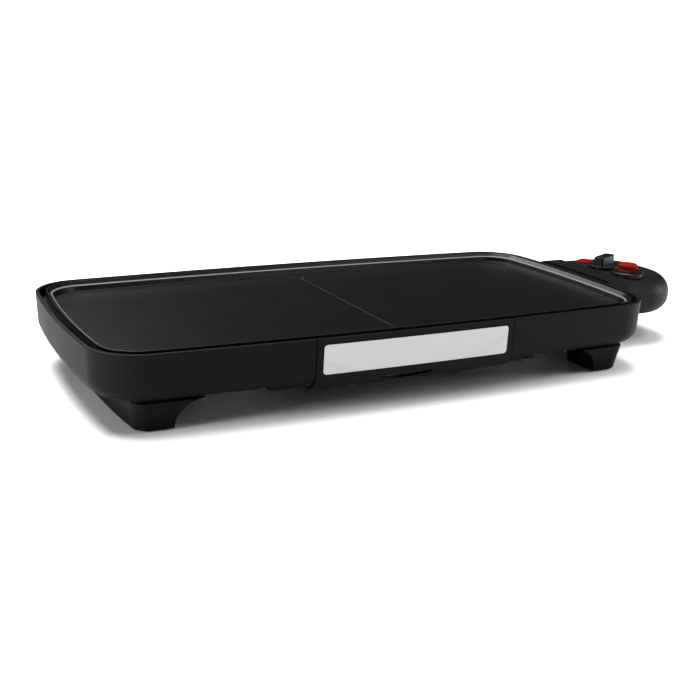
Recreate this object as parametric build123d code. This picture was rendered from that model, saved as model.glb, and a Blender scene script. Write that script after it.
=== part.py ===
from build123d import *

import os
from math import atan2, cos, degrees, radians, sin, sqrt

# Electric table griddle: a bowed rectangular casing on a foot rail at each end, a shallow cast plate with a
# drain slot over a drip drawer, and a plug-in thermostat control at the right-hand end.
# Millimetres, +X along the length towards the control, -Y to the front, +Z up, the table top at Z = 0.
# Everything is drawn about the middle of the casing, and is moved along X when it is written, so that the
# origin lies below the middle of the whole object.

# ---- Driving dimensions ---------------------------------------------------------------------------------
LENGTH = 560.0             # casing, over its bowed ends
DEPTH = 282.4              # casing, over its bowed front and back
CORNER_R = 45.6            # plan radius of the four corners
LONG_BOW = 8.65            # how far the front and back bulge beyond a straight side
SHORT_BOW = 9.69           # how far the two ends bulge
RIM_Z = 69.0               # top of the casing's lip
CASE_Z = 27.2              # underside of the casing
CASE_FOOT_INSET = 1.9      # how far the drafted wall has come in at the underside
CASE_ROUND = 15.0          # roundover between wall and underside
WALL = 2.6                 # moulded wall
LIP = 3.6                  # width of the lip
SHELF_Z = 60.0             # top of the shelf that carries the plate
SHELF_INSET = 12.0
FLANGE_INSET = 24.0        # inner edge of the casing's bottom flange

PLATE_TOP_Z = 69.6
PLATE_INSET = 9.4          # outer edge of the plate's rim
PLATE_FLOOR_Z = 60.8
PLATE_UNDER_Z = 56.0
PLATE_FOOT_INSET = 18.8    # where the sloping wall meets the cooking surface
DRAIN_Y = -112.5
DRAIN_LENGTH = 26.0
DRAIN_WIDTH = 5.0

PAN_Z = 29.8               # underside of the steel base pan
PAN_T = 1.5
REFLECTOR_Z = 46.8
REFLECTOR_T = 0.8
ELEMENT_Z = 52.6           # centre line of the heating tube, the pins and the probe
ELEMENT_R = 3.25

DRAWER_X = 2.0             # middle of the drip drawer
FRONT_HALF = 97.5          # half width of the drawer's front panel
SEAM = 0.8                 # seam each side of the front panel
FRONT_Z = 20.2             # underside of the front panel
FRONT_ROUND = 20.0         # roundover of the front panel
TRAY_HALF = 91.5
TRAY_FRONT_Y = -120.0
TRAY_BACK_Y = 20.0
TRAY_Z = 25.0
TRAY_TOP_Z = 45.5
TRAY_T = 1.8
TRAY_CORNER_R = 10.0
TRAY_ROUND = 5.0           # round between the tray's walls and its bottom
LEDGE_Z = 30.0             # the tray's side ledges, which run in the runners
LEDGE_T = 1.8
LEDGE_HALF = 97.4

FOOT_X = 232.0             # middle of a rubber pad
FOOT_Y = 97.0
FOOT_Z = 1.0               # underside of a foot rail, above the table by what its pads stand out
FOOT_TOP_Z = 26.0
FOOT_HALF = (121.0, 126.5)  # half depth of a foot rail, at its underside and its top
FOOT_INSET = (30.4, 27.2)  # how far inside the rim line its outer face stands, at its underside and its top
FOOT_CORNER_R = 13.0
FOOT_BLOCK_Y = 81.0        # the corner blocks end here, and a plain skirt joins them
SKIRT_T = 5.0
PAD_WIDTH, PAD_LENGTH, PAD_R = 18.0, 34.0, 8.0
ARCH_R = 25.0              # hollow arch on the inner side of each corner block
ARCH_X = 187.0

CONTROL_Y = 3.5            # middle of the control box
COLLAR_X = 303.0           # outer face of the docking collar
BOX_X = 303.4              # inner face of the control box
BOX_TIP_X = 386.5
BOX_HALF = 64.0
BOX_CORNER_R = 52.0
BOX_Z = 30.0
BOX_TOP_Z = 70.5
BOX_TOP_ROUND = 20.0
BOX_BASE_ROUND = 17.0
BOX_SEAM_Z = 43.5
BOX_WALL = 2.4
KNOB_X = 322.0             # the button and the pilot light stand in line with the knob
KNOB_Y = 7.0
BUTTON_Y = -32.5
PILOT_Y = 39.0
KNOB_R = 17.0
BAR_TOP_Z = 84.3           # top of the knob's grip bar
KNOB_TURN = 26.6           # where the grip bar points at rest, from +X
BUTTON_R = 13.0
BUTTON_COLLAR_R = 16.5
PILOT_R = 9.6
GLAND_X = 328.0
GLAND_Z = 48.7
FLEX_R = 3.6               # bore for the mains lead

# ---- The rim line: four large arcs and four corner arcs, all tangent -------------------------------------
LONG_R = ((LENGTH / 2) ** 2 + LONG_BOW**2) / (2 * LONG_BOW)
SHORT_R = ((DEPTH / 2) ** 2 + SHORT_BOW**2) / (2 * SHORT_BOW)
LONG_CENTRE_Y = DEPTH / 2 - LONG_R
SHORT_CENTRE_X = LENGTH / 2 - SHORT_R


def corner_centre():
    """Centre of the corner arc that is tangent to the right-hand end and to the back."""
    apart = sqrt(SHORT_CENTRE_X**2 + LONG_CENTRE_Y**2)
    from_long = LONG_R - CORNER_R
    from_short = SHORT_R - CORNER_R
    along = (from_long**2 - from_short**2 + apart**2) / (2 * apart)
    across = sqrt(from_long**2 - along**2)
    unit_x = SHORT_CENTRE_X / apart
    unit_y = -LONG_CENTRE_Y / apart
    x = along * unit_x - across * unit_y
    y = LONG_CENTRE_Y + along * unit_y + across * unit_x
    if x < 0 or y < 0:
        x = along * unit_x + across * unit_y
        y = LONG_CENTRE_Y + along * unit_y - across * unit_x
    return x, y


CORNER_X, CORNER_Y = corner_centre()
SHORT_ANGLE = degrees(atan2(CORNER_Y, CORNER_X - SHORT_CENTRE_X))
LONG_ANGLE = degrees(atan2(CORNER_Y - LONG_CENTRE_Y, CORNER_X))
CORNER_SWEEP = LONG_ANGLE - SHORT_ANGLE
# centre x, centre y, radius, start angle and sweep of each arc, anticlockwise from the right-hand end
RIM_ARCS = [
    (SHORT_CENTRE_X, 0, SHORT_R, -SHORT_ANGLE, 2 * SHORT_ANGLE),
    (CORNER_X, CORNER_Y, CORNER_R, SHORT_ANGLE, CORNER_SWEEP),
    (0, LONG_CENTRE_Y, LONG_R, LONG_ANGLE, 180 - 2 * LONG_ANGLE),
    (-CORNER_X, CORNER_Y, CORNER_R, 180 - LONG_ANGLE, CORNER_SWEEP),
    (-SHORT_CENTRE_X, 0, SHORT_R, 180 - SHORT_ANGLE, 2 * SHORT_ANGLE),
    (-CORNER_X, -CORNER_Y, CORNER_R, 180 + SHORT_ANGLE, CORNER_SWEEP),
    (0, -LONG_CENTRE_Y, LONG_R, 180 + LONG_ANGLE, 180 - 2 * LONG_ANGLE),
    (CORNER_X, -CORNER_Y, CORNER_R, 360 - LONG_ANGLE, CORNER_SWEEP),
]
FRONT_ARC = RIM_ARCS[6:7]
SIDES = (-1, 1)


def rim_y(x, inset):
    """Distance of the front or back from the middle, at x and so far in from the rim line."""
    return LONG_CENTRE_Y + sqrt((LONG_R - inset) ** 2 - x**2)


def rim_x(y, inset):
    """Distance of an end from the middle, at y and so far in from the rim line."""
    return SHORT_CENTRE_X + sqrt((SHORT_R - inset) ** 2 - y**2)


def wall_inset(z):
    """How far the drafted outer wall has come in at height z."""
    return CASE_FOOT_INSET * (RIM_Z - z) / (RIM_Z - CASE_Z)


def outline(inset, low, high):
    """Solid slab with the rim's outline, so far in, between two heights."""
    edges = [CenterArc((x, y), r - inset, start, sweep) for x, y, r, start, sweep in RIM_ARCS]
    return Pos(0, 0, low) * extrude(make_face(edges), high - low)


def section(corners):
    """Face with rounded corners, each given as x, y and its radius."""
    points = [(x, y) for x, y, _ in corners]
    radii = [r for _, _, r in corners]
    if not any(radii):
        return make_face(Polyline(*points, close=True))
    return make_face(FilletPolyline(*points, radius=radii, close=True))


def ring(corners, arcs=RIM_ARCS):
    """Ring along the rim line, whose section is given as inset, height and corner radius."""
    face = section(corners)
    pieces = []
    for x, y, r, start, sweep in arcs:
        out = Vector(cos(radians(start)), sin(radians(start)), 0)
        along = Vector(-out.Y, out.X, 0)
        place = Plane(origin=Vector(x, y, 0) + out * r, x_dir=out * -1, z_dir=along)
        pieces.append(revolve(place * face, axis=Axis((x, y, 0), (0, 0, 1)), revolution_arc=sweep))
    return pieces[0] if len(pieces) == 1 else pieces[0].fuse(*pieces[1:])


def block(x0, x1, y0, y1, z0, z1):
    """Box between the given faces."""
    middle = ((x0 + x1) / 2, (y0 + y1) / 2, (z0 + z1) / 2)
    return Pos(*middle) * Box(abs(x1 - x0), abs(y1 - y0), abs(z1 - z0))


def rounded_block(x0, x1, y0, y1, z0, z1, r):
    """Box between the given faces, with rounded upright edges."""
    face = Pos((x0 + x1) / 2, (y0 + y1) / 2) * RectangleRounded(abs(x1 - x0), abs(y1 - y0), r)
    return Pos(0, 0, z0) * extrude(face, z1 - z0)


def rod(x, y, z0, z1, r):
    """Upright cylinder."""
    return Pos(x, y, (z0 + z1) / 2) * Cylinder(r, z1 - z0)


def rod_x(x0, x1, y, z, r):
    """Cylinder along X."""
    return Pos((x0 + x1) / 2, y, z) * Rot(0, 90, 0) * Cylinder(r, x1 - x0)


def rod_y(x, y0, y1, z, r):
    """Cylinder along Y."""
    return Pos(x, (y0 + y1) / 2, z) * Rot(90, 0, 0) * Cylinder(r, y1 - y0)


def turned(x, y, points):
    """Solid of revolution about an upright axis, from radius and height pairs."""
    return Pos(x, y, 0) * revolve(Plane.XZ * make_face(Polyline(*points, close=True)), Axis.Z)


def screw(x, y, head_z, tip_z, shank_r=1.5, head_r=3.2, head_h=2.0):
    """Pan-head screw, head up, with a cross recess."""
    recess = block(x - 1.8, x + 1.8, y - 0.4, y + 0.4, head_z + head_h - 0.9, head_z + head_h + 1)
    recess += block(x - 0.4, x + 0.4, y - 1.8, y + 1.8, head_z + head_h - 0.9, head_z + head_h + 1)
    dome = [(0, tip_z), (shank_r, tip_z + shank_r), (shank_r, head_z), (head_r, head_z)]
    dome += [(head_r, head_z + head_h * 0.5), (head_r * 0.6, head_z + head_h), (0, head_z + head_h)]
    return turned(x, y, dome) - recess


def group(solids):
    """Separate solids kept together in one node."""
    return Compound([solid for piece in solids for solid in piece.solids()])


# ---- Casing and foot rails --------------------------------------------------------------------------------
WINDOW_HALF = FRONT_HALF + SEAM
PANEL_T = 3.3
UPSTAND_Z = 66.0


def casing():
    """One-piece moulded surround: lip, drafted wall, shelf for the plate and bottom flange."""
    inner_low = wall_inset(PAN_Z) + WALL
    body = ring(
        [
            (0, RIM_Z, 1.0),
            (LIP, RIM_Z, 0.8),
            (LIP, SHELF_Z, 0),
            (SHELF_INSET, SHELF_Z, 0),
            (SHELF_INSET, SHELF_Z - 2.4, 0),
            (LIP, SHELF_Z - 2.4, 0),
            (inner_low, PAN_Z, CASE_ROUND - WALL),
            (FLANGE_INSET, PAN_Z, 0),
            (FLANGE_INSET, CASE_Z, 0),
            (CASE_FOOT_INSET, CASE_Z, CASE_ROUND),
        ]
    )
    low, high = SHELF_Z - 1, UPSTAND_Z
    upstand = ring([(3, low, 0), (6.4, low, 0), (6.4, high, 0), (3, high, 0)], FRONT_ARC)
    reach = WINDOW_HALF + 5
    body += upstand & block(DRAWER_X - reach, DRAWER_X + reach, -DEPTH, 0, 0, 100)
    left, right = DRAWER_X - WINDOW_HALF, DRAWER_X + WINDOW_HALF
    behind = PANEL_T + 1.1
    skin = ring([(-3, 15, 0), (behind, 15, 0), (behind, 80, 0), (-3, 80, 0)], FRONT_ARC)
    body -= skin & block(left, right, -DEPTH, 0, 0, 100)
    body -= block(left, right, -DEPTH, -DEPTH / 2 + FLANGE_INSET + 2, 15, SHELF_Z - 2.4)
    body -= block(LENGTH / 2 - 12, LENGTH / 2 + 5, CONTROL_Y - 22, CONTROL_Y + 22, 47.7, SHELF_Z - 2.6)
    for side in SIDES:
        body -= rod_x(LENGTH / 2 - 12, LENGTH / 2 + 5, CONTROL_Y + side * COLLAR_SCREW_Y, ELEMENT_Z, 1.6)
    for x, y in base_screw_places():
        body -= rod(x, y, CASE_Z - 1, PAN_Z + 1, 1.6)
    for side in SIDES:
        body -= rod(DRAWER_X + side * TAB_HOLE_X, TAB_HOLE_Y, CASE_Z - 1, PAN_Z + 1, 1.6)
    return body


def foot_plan(half, inset):
    """Plan of the left foot rail: bowed like the casing's end, with rounded outer corners."""
    reach = rim_x(0, inset)
    sheet = Pos(-(reach + ARCH_X) / 2, 0) * Rectangle(reach - ARCH_X, 2 * half)
    sheet &= Pos(-SHORT_CENTRE_X, 0) * Circle(SHORT_R - inset)
    outer = sheet.vertices().filter_by(lambda v: v.X < -ARCH_X - FOOT_CORNER_R)
    return fillet(outer, FOOT_CORNER_R)


def foot_rail(side):
    """Foot moulding of one end: two corner blocks with arches and screw bosses, joined by a skirt."""
    base = Pos(0, 0, FOOT_Z) * foot_plan(FOOT_HALF[0], FOOT_INSET[0])
    top = Pos(0, 0, FOOT_TOP_Z) * foot_plan(FOOT_HALF[1], FOOT_INSET[1])
    body = loft([base.face(), top.face()])
    neck = foot_plan(FOOT_HALF[1] - 4.5, FOOT_INSET[1] + 0.6)
    body += Pos(0, 0, FOOT_TOP_Z - 0.1) * extrude(neck, CASE_Z - FOOT_TOP_Z + 0.1)
    body -= rod_y(-ARCH_X, -DEPTH / 2, DEPTH / 2, FOOT_Z, ARCH_R)
    hollow = Pos(-SHORT_CENTRE_X, 0) * Circle(SHORT_R - FOOT_INSET[0] - SKIRT_T)
    hollow &= Pos(-LENGTH / 2, 0) * Rectangle(LENGTH, 2 * FOOT_BLOCK_Y)
    body -= extrude(hollow, PAN_Z)
    for y in (-FOOT_Y, FOOT_Y):
        inwards = 1 if y < 0 else -1
        back = y + inwards * 15
        body += rounded_block(-FOOT_X - 9, -FOOT_X + 19, y - inwards * 9, back, CASE_Z - 2, PAN_Z, 6)
        pocket_y = (y - inwards * 6.5, y + inwards * 13)
        pocket = rounded_block(-FOOT_X - 6.5, -FOOT_X + 16, *pocket_y, 5, PAN_Z + 1, 3)
        body -= pocket - rod(-FOOT_X, y, 0, PAN_Z, 5)
        body -= rod(-FOOT_X, y, 10, PAN_Z + 1, 1.6)
        body -= pad_shape(-FOOT_X, y, 0, FOOT_Z + 1.6, 0.1)
    return mirror(body, Plane.YZ) if side > 0 else body


def pad_shape(x, y, low, high, extra=0.0):
    """Rounded oblong of a rubber pad, or of the recess that holds it."""
    face = RectangleRounded(PAD_WIDTH + 2 * extra, PAD_LENGTH + 2 * extra, PAD_R)
    return Pos(x, y, low) * extrude(face, high - low)


def foot_pad(side_x, side_y):
    """Rubber pad, pressed into a foot rail, with a slightly domed edge."""
    body = pad_shape(side_x * FOOT_X, side_y * FOOT_Y, 0, FOOT_Z + 1.5)
    return fillet(body.faces().sort_by(Axis.Z)[0].edges(), 0.5)


def foot_screws():
    """Four screws, from above through the pan into the foot rails."""
    return group(
        screw(sx * FOOT_X, sy * FOOT_Y, PAN_Z + PAN_T, 13, 1.55, 3.6) for sx in SIDES for sy in SIDES
    )


# ---- Base pan, reflector and heating element --------------------------------------------------------------
SCREW_INSET = 20.4
POST_X, POST_Y = 150.0, 88.0


def base_screw_places():
    """Where the pan is screwed to the casing's flange."""
    front = [(x, -rim_y(x, SCREW_INSET)) for x in (-190, -150, 150, 190)]
    back = [(x, rim_y(x, SCREW_INSET)) for x in (-190, -64, 64, 190)]
    return front + back


def base_pan():
    """Steel sheet that closes the underside, open over the drip drawer's bay."""
    body = outline(CASE_ROUND + 3.2, PAN_Z, PAN_Z + PAN_T)
    body -= block(DRAWER_X - BAY_HALF, DRAWER_X + BAY_HALF, -DEPTH, BAY_BACK_Y, PAN_Z - 1, PAN_Z + 3)
    for sx in SIDES:
        for sy in SIDES:
            body -= rod(sx * FOOT_X, sy * FOOT_Y, PAN_Z - 1, PAN_Z + 3, 2.0)
            body -= rod(sx * POST_X, sy * POST_Y, PAN_Z - 1, PAN_Z + 3, 1.6)
    for x, y in base_screw_places():
        body -= rod(x, y, PAN_Z - 1, PAN_Z + 3, 1.7)
    for x, y in runner_screw_places():
        body -= rod(x, y, PAN_Z - 1, PAN_Z + 3, 1.6)
    vents = [(x, y) for x in (-205, -185, -165, 165, 185, 205) for y in (-40, 0, 40)]
    for x, y in vents:
        body -= Pos(x, y, PAN_Z - 1) * extrude(SlotOverall(26, 5, rotation=90), 4)
    return body


def base_screws():
    """Screws from above through the pan into the casing's flange."""
    return group(screw(x, y, PAN_Z + PAN_T, CASE_Z + 0.2) for x, y in base_screw_places())


def reflector():
    """Bright sheet under the heating element, with an opening below the plate's drain spout."""
    body = outline(8.0, REFLECTOR_Z, REFLECTOR_Z + REFLECTOR_T)
    body -= Pos(DRAWER_X, DRAIN_Y, REFLECTOR_Z - 1) * extrude(SlotOverall(DRAIN_LENGTH + 16, 15), 3)
    for sx in SIDES:
        for sy in SIDES:
            body -= rod(sx * POST_X, sy * POST_Y, REFLECTOR_Z - 1, REFLECTOR_Z + 2, 1.6)
    return body


def reflector_posts():
    """Four turned spacers between the pan and the reflector."""
    return group(
        rod(sx * POST_X, sy * POST_Y, PAN_Z + PAN_T, REFLECTOR_Z, 4.5)
        - rod(sx * POST_X, sy * POST_Y, PAN_Z, REFLECTOR_Z + 1, 1.3)
        for sx in SIDES
        for sy in SIDES
    )


def reflector_screws():
    """Four screws through the reflector into its spacers."""
    return group(
        screw(sx * POST_X, sy * POST_Y, REFLECTOR_Z + REFLECTOR_T, 38, 1.25, 2.6, 1.4)
        for sx in SIDES
        for sy in SIDES
    )


PIN_Y = 14.0
PIN_START_X = 246.0
ELEMENT_RUNS = (95.0, 32.0)


def heating_element():
    """Sheathed tube in one plane: an outer loop and an inner loop, with both ends at the control."""
    outer, inner = ELEMENT_RUNS
    half = [(228, PIN_Y), (228, outer), (-235, outer), (-235, inner), (165, inner)]
    points = [(PIN_START_X, CONTROL_Y + PIN_Y)]
    points += [(x, y + (CONTROL_Y if y == PIN_Y else 0)) for x, y in half]
    points += [(x, -y + (CONTROL_Y if y == PIN_Y else 0)) for x, y in reversed(half)]
    points += [(PIN_START_X, CONTROL_Y - PIN_Y)]
    path = Plane.XY.offset(ELEMENT_Z) * FilletPolyline(*points, radius=13)
    start = Plane(origin=(PIN_START_X, CONTROL_Y + PIN_Y, ELEMENT_Z), z_dir=(-1, 0, 0))
    return sweep(start * Circle(ELEMENT_R), path=path)


def terminal_pins():
    """The element's two contact pins, which stand out into the docking collar."""
    pins = []
    for side in SIDES:
        pin = rod_x(PIN_START_X, 300, CONTROL_Y + side * PIN_Y, ELEMENT_Z, 2.0)
        pins.append(chamfer(pin.faces().sort_by(Axis.X)[-1].edges(), 0.6))
    return group(pins)


def terminal_block():
    """Ceramic block on the reflector that holds the pins and guides the probe."""
    body = block(256, 271.5, CONTROL_Y - 24, CONTROL_Y + 24, REFLECTOR_Z + REFLECTOR_T, 55.6)
    for side in SIDES:
        body -= rod_x(250, 280, CONTROL_Y + side * PIN_Y, ELEMENT_Z, 2.05)
    body -= rod_x(250, 280, CONTROL_Y, ELEMENT_Z, 2.8)
    return body


def element_cradles():
    """Ceramic saddles on the reflector, under the heating tube."""
    cradles = []
    for run in ELEMENT_RUNS:
        for side in SIDES:
            for x in (-180, -60, 60, 140):
                y = side * run
                saddle = block(x - 4, x + 4, y - 6, y + 6, REFLECTOR_Z + REFLECTOR_T, ELEMENT_Z - 0.8)
                cradles.append(saddle - rod_x(x - 5, x + 5, y, ELEMENT_Z, ELEMENT_R + 0.05))
    return group(cradles)


# ---- Griddle plate -----------------------------------------------------------------------------------------
ZONE_X0, ZONE_X1 = -2.0, 252.0
ZONE_HALF_Y = 113.0
ZONE_R = 16.0
GROOVE = 1.1               # width of the line round the zone
GROOVE_DEPTH = 0.3
SPOUT_Z = 49.5


def griddle_plate():
    """Cast plate: thin rim, sloping wall with a bead, flat cooking surface, drain slot and spout."""
    body = outline(PLATE_FOOT_INSET - 1, PLATE_UNDER_Z, PLATE_FLOOR_Z)
    body += ring(
        [
            (PLATE_INSET, PLATE_TOP_Z, 0.5),
            (PLATE_INSET + 1.2, PLATE_TOP_Z, 0.4),
            (14.0, 66.2, 0.5),
            (15.4, 65.6, 0.6),
            (PLATE_FOOT_INSET - 0.9, PLATE_FLOOR_Z, 0.8),
            (PLATE_FOOT_INSET + 1, PLATE_FLOOR_Z, 0),
            (PLATE_FOOT_INSET + 1, PLATE_UNDER_Z, 0),
            (13.2, PLATE_UNDER_Z, 1.5),
            (12.6, SHELF_Z, 0),
            (PLATE_INSET + 0.6, SHELF_Z, 0),
        ]
    )
    middle, width, depth = (ZONE_X0 + ZONE_X1) / 2, ZONE_X1 - ZONE_X0, 2 * ZONE_HALF_Y
    zone = Pos(middle, 0) * RectangleRounded(width, depth, ZONE_R)
    within = Pos(middle, 0) * RectangleRounded(width - 2 * GROOVE, depth - 2 * GROOVE, ZONE_R - GROOVE)
    body -= Pos(0, 0, PLATE_FLOOR_Z - GROOVE_DEPTH) * extrude(zone - within, 1)
    spout = SlotOverall(DRAIN_LENGTH + 4, DRAIN_WIDTH + 4)
    body += Pos(DRAWER_X, DRAIN_Y, SPOUT_Z) * extrude(spout, PLATE_UNDER_Z - SPOUT_Z + 1)
    drain = SlotOverall(DRAIN_LENGTH, DRAIN_WIDTH)
    body -= Pos(DRAWER_X, DRAIN_Y, 40) * extrude(drain, 40)
    return body


# ---- Drip drawer -------------------------------------------------------------------------------------------
BAY_HALF = 105.6
BAY_BACK_Y = 34.0
RUNNER_IN, RUNNER_OUT = 93.4, 105.0
RUNNER_FRONT_Y, RUNNER_BACK_Y = -112.0, 28.0
RUNNER_SCREW_X = 111.0
RUNNER_SCREW_Y = (-90.0, 12.0)
TAB_Z = 24.6               # underside of a runner's front tab
TAB_HOLE_X, TAB_HOLE_Y = 129.0, -121.0
TRIM_HALF = 91.5
TRIM_LOW_Z, TRIM_HIGH_Z = 37.4, 63.4
GRIP_LOW_Z, GRIP_HIGH_Z = 24.6, 29.4
GRIP_X = -7.0
GRIP_HALF = 26.5
FRONT_SCREW_X = 60.0
FRONT_SCREW_Z = 38.0


def panel_face(offset, top_z, top_round=0.0):
    """Outer face of the front panel moved in by offset, as section corners from bottom to top."""
    inset = CASE_FOOT_INSET + offset
    return [(inset, FRONT_Z + offset, FRONT_ROUND - offset), (wall_inset(top_z) + offset, top_z, top_round)]


def drawer_front():
    """Front panel, flush with the casing, with a finger slot, a seat for the trim and two bosses."""
    outer = panel_face(0, RIM_Z, 1.0)
    inner = panel_face(PANEL_T - wall_inset(RIM_Z), RIM_Z, 0.8)
    body = ring(
        [
            outer[1],
            inner[1],
            inner[0],
            (FLANGE_INSET - 2, FRONT_Z + PANEL_T, 0),
            (FLANGE_INSET - 2, FRONT_Z, 0),
            outer[0],
        ],
        FRONT_ARC,
    )
    body &= block(DRAWER_X - FRONT_HALF, DRAWER_X + FRONT_HALF, -DEPTH, 0, 0, 100)
    for side in SIDES:
        body += rod_y(DRAWER_X + side * FRONT_SCREW_X, -137, TRAY_FRONT_Y, FRONT_SCREW_Z, 4)
        body -= rod_y(DRAWER_X + side * FRONT_SCREW_X, -133, TRAY_FRONT_Y + 1, FRONT_SCREW_Z, 1.3)
    grip = SlotOverall(2 * GRIP_HALF, GRIP_HIGH_Z - GRIP_LOW_Z)
    body -= extrude(Plane.XZ * Pos(GRIP_X, (GRIP_LOW_Z + GRIP_HIGH_Z) / 2) * grip, DEPTH / 2)
    seat = ring(trim_section(0.45, -1.5), FRONT_ARC) & trim_outline(0.15)
    return body - seat


def trim_section(low, high):
    """Band that follows the panel's face, from low below it to high above it."""
    under = panel_face(low, RIM_Z)
    over = panel_face(high, RIM_Z)
    end = [(FLANGE_INSET, FRONT_Z + high, 0), (FLANGE_INSET, FRONT_Z + low, 0)]
    return [under[1], over[1], over[0], *end, under[0]]


def trim_outline(extra=0.0):
    """Upright prism with the trim's rounded outline."""
    width = 2 * (TRIM_HALF + extra)
    height = TRIM_HIGH_Z - TRIM_LOW_Z + 2 * extra
    face = Plane.XZ * Pos(DRAWER_X, (TRIM_LOW_Z + TRIM_HIGH_Z) / 2) * RectangleRounded(width, height, 3)
    return extrude(face, DEPTH)


def drawer_trim_plate():
    """Thin satin metal plate on the front panel, bent round the panel's lower roundover."""
    return ring(trim_section(0.4, -0.3), FRONT_ARC) & trim_outline()


def drawer_tray():
    """Drip tray with rounded corners and a ledge along each side."""
    left, right = DRAWER_X - TRAY_HALF, DRAWER_X + TRAY_HALF
    body = rounded_block(left, right, TRAY_FRONT_Y, TRAY_BACK_Y, TRAY_Z, TRAY_TOP_Z, TRAY_CORNER_R)
    body = fillet(body.faces().sort_by(Axis.Z)[0].edges(), TRAY_ROUND)
    inner_x = (left + TRAY_T, right - TRAY_T)
    inner_y = (TRAY_FRONT_Y + TRAY_T, TRAY_BACK_Y - TRAY_T)
    hollow = rounded_block(*inner_x, *inner_y, TRAY_Z + TRAY_T, 60, TRAY_CORNER_R - TRAY_T)
    body -= fillet(hollow.faces().sort_by(Axis.Z)[0].edges(), TRAY_ROUND - TRAY_T)
    for side in SIDES:
        inner, outer = DRAWER_X + side * (TRAY_HALF - 1), DRAWER_X + side * LEDGE_HALF
        body += block(inner, outer, TRAY_FRONT_Y + 12, TRAY_BACK_Y - 12, LEDGE_Z, LEDGE_Z + LEDGE_T)
        screw_x = DRAWER_X + side * FRONT_SCREW_X
        body -= rod_y(screw_x, TRAY_FRONT_Y - 1, TRAY_FRONT_Y + 4, FRONT_SCREW_Z, 1.6)
    return body


def drawer_screws():
    """Two screws from inside the tray into the front panel."""
    start = (DRAWER_X, TRAY_FRONT_Y + TRAY_T, FRONT_SCREW_Z)
    place = Plane(origin=start, x_dir=(1, 0, 0), z_dir=(0, 1, 0))
    return group(place * screw(side * FRONT_SCREW_X, 0, 0, -12, 1.25, 3.0, 1.8) for side in SIDES)


def runner(side):
    """Channel beside the drawer bay, hung from the pan, with a front tab under the casing's flange."""
    top = PAN_Z + PAN_T
    channel_z = (LEDGE_Z - 0.6, LEDGE_Z + LEDGE_T + 0.6)
    body = block(RUNNER_IN, RUNNER_OUT, RUNNER_FRONT_Y, RUNNER_BACK_Y, 26, 36)
    body += block(RUNNER_OUT - 1, 116, RUNNER_FRONT_Y + 4, RUNNER_BACK_Y, top, top + 2)
    body -= block(RUNNER_IN - 1, LEDGE_HALF + 0.8, RUNNER_FRONT_Y - 1, RUNNER_BACK_Y - 3, *channel_z)
    tab = [(99.5, -110, 0), (102, -127, 2), (118, -127, 3), (121, -124, 2)]
    tab += [(126, -127, 1), (133, -126, 3), (135, -114, 3), (112, -110, 4)]
    body += Pos(0, 0, TAB_Z) * extrude(section(tab), CASE_Z - TAB_Z)
    body -= rod(TAB_HOLE_X, TAB_HOLE_Y, 20, 30, 1.6)
    for y in RUNNER_SCREW_Y:
        body -= rod(RUNNER_SCREW_X, y, 28, 36, 1.6)
    if side < 0:
        body = mirror(body, Plane.YZ)
    return Pos(DRAWER_X, 0, 0) * body


def runner_screw_places():
    """Where the runners are screwed to the pan."""
    return [(DRAWER_X + side * RUNNER_SCREW_X, y) for side in SIDES for y in RUNNER_SCREW_Y]


def runner_screws():
    """Screws through the runners into the pan, and through their front tabs into the casing."""
    top = [screw(x, y, PAN_Z + PAN_T + 2, PAN_Z - 3) for x, y in runner_screw_places()]
    upwards = Plane(origin=(0, 0, TAB_Z), x_dir=(1, 0, 0), z_dir=(0, 0, -1))
    tabs = [
        upwards * screw(DRAWER_X + side * TAB_HOLE_X, -TAB_HOLE_Y, 0, -4.6, 1.5, 2.6, 1.2) for side in SIDES
    ]
    return group(top + tabs)


# ---- Docking collar and control box ------------------------------------------------------------------------
COLLAR_SCREW_Y = 45.0
COLLAR_HALF = 65.5
COLLAR_LOW_Z, COLLAR_TOP_Z = 29.4, 71.0
COLLAR_BACK_X = 272.0
COLLAR_HOLLOW = 47.0
PLUG_HALF = 26.0
PLUG_LOW_Z, PLUG_HIGH_Z = 44.6, 60.6


def docking_collar():
    """Housing on the casing's end that the control plugs into."""
    face = RectangleRounded(2 * COLLAR_HALF, COLLAR_TOP_Z - COLLAR_LOW_Z, 14)
    face = Plane.YZ * Pos(CONTROL_Y, (COLLAR_LOW_Z + COLLAR_TOP_Z) / 2) * face
    body = Pos(COLLAR_BACK_X, 0, 0) * extrude(face, COLLAR_X - COLLAR_BACK_X)
    body = fillet(body.faces().sort_by(Axis.X)[-1].edges(), 1.5)
    end_wall = [
        (-0.1, 90, 0),
        (-0.1, RIM_Z, 0),
        (CASE_FOOT_INSET - 0.1, CASE_Z - 0.1, CASE_ROUND),
        (40, CASE_Z - 0.1, 0),
        (40, 90, 0),
    ]
    body -= ring(end_wall, RIM_ARCS[:1])
    hollow = block(255, COLLAR_X - 3, CONTROL_Y - COLLAR_HOLLOW, CONTROL_Y + COLLAR_HOLLOW, 34, 65.5)
    posts = [rod_x(255, COLLAR_X, CONTROL_Y + s * COLLAR_SCREW_Y, ELEMENT_Z, 4.5) for s in SIDES]
    body -= hollow - posts[0] - posts[1]
    body -= block(255, COLLAR_X + 1, CONTROL_Y - PLUG_HALF - 0.6, CONTROL_Y + PLUG_HALF + 0.6, 44, 61.2)
    for side in SIDES:
        body -= rod_x(255, 292, CONTROL_Y + side * COLLAR_SCREW_Y, ELEMENT_Z, 1.3)
    return body


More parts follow.
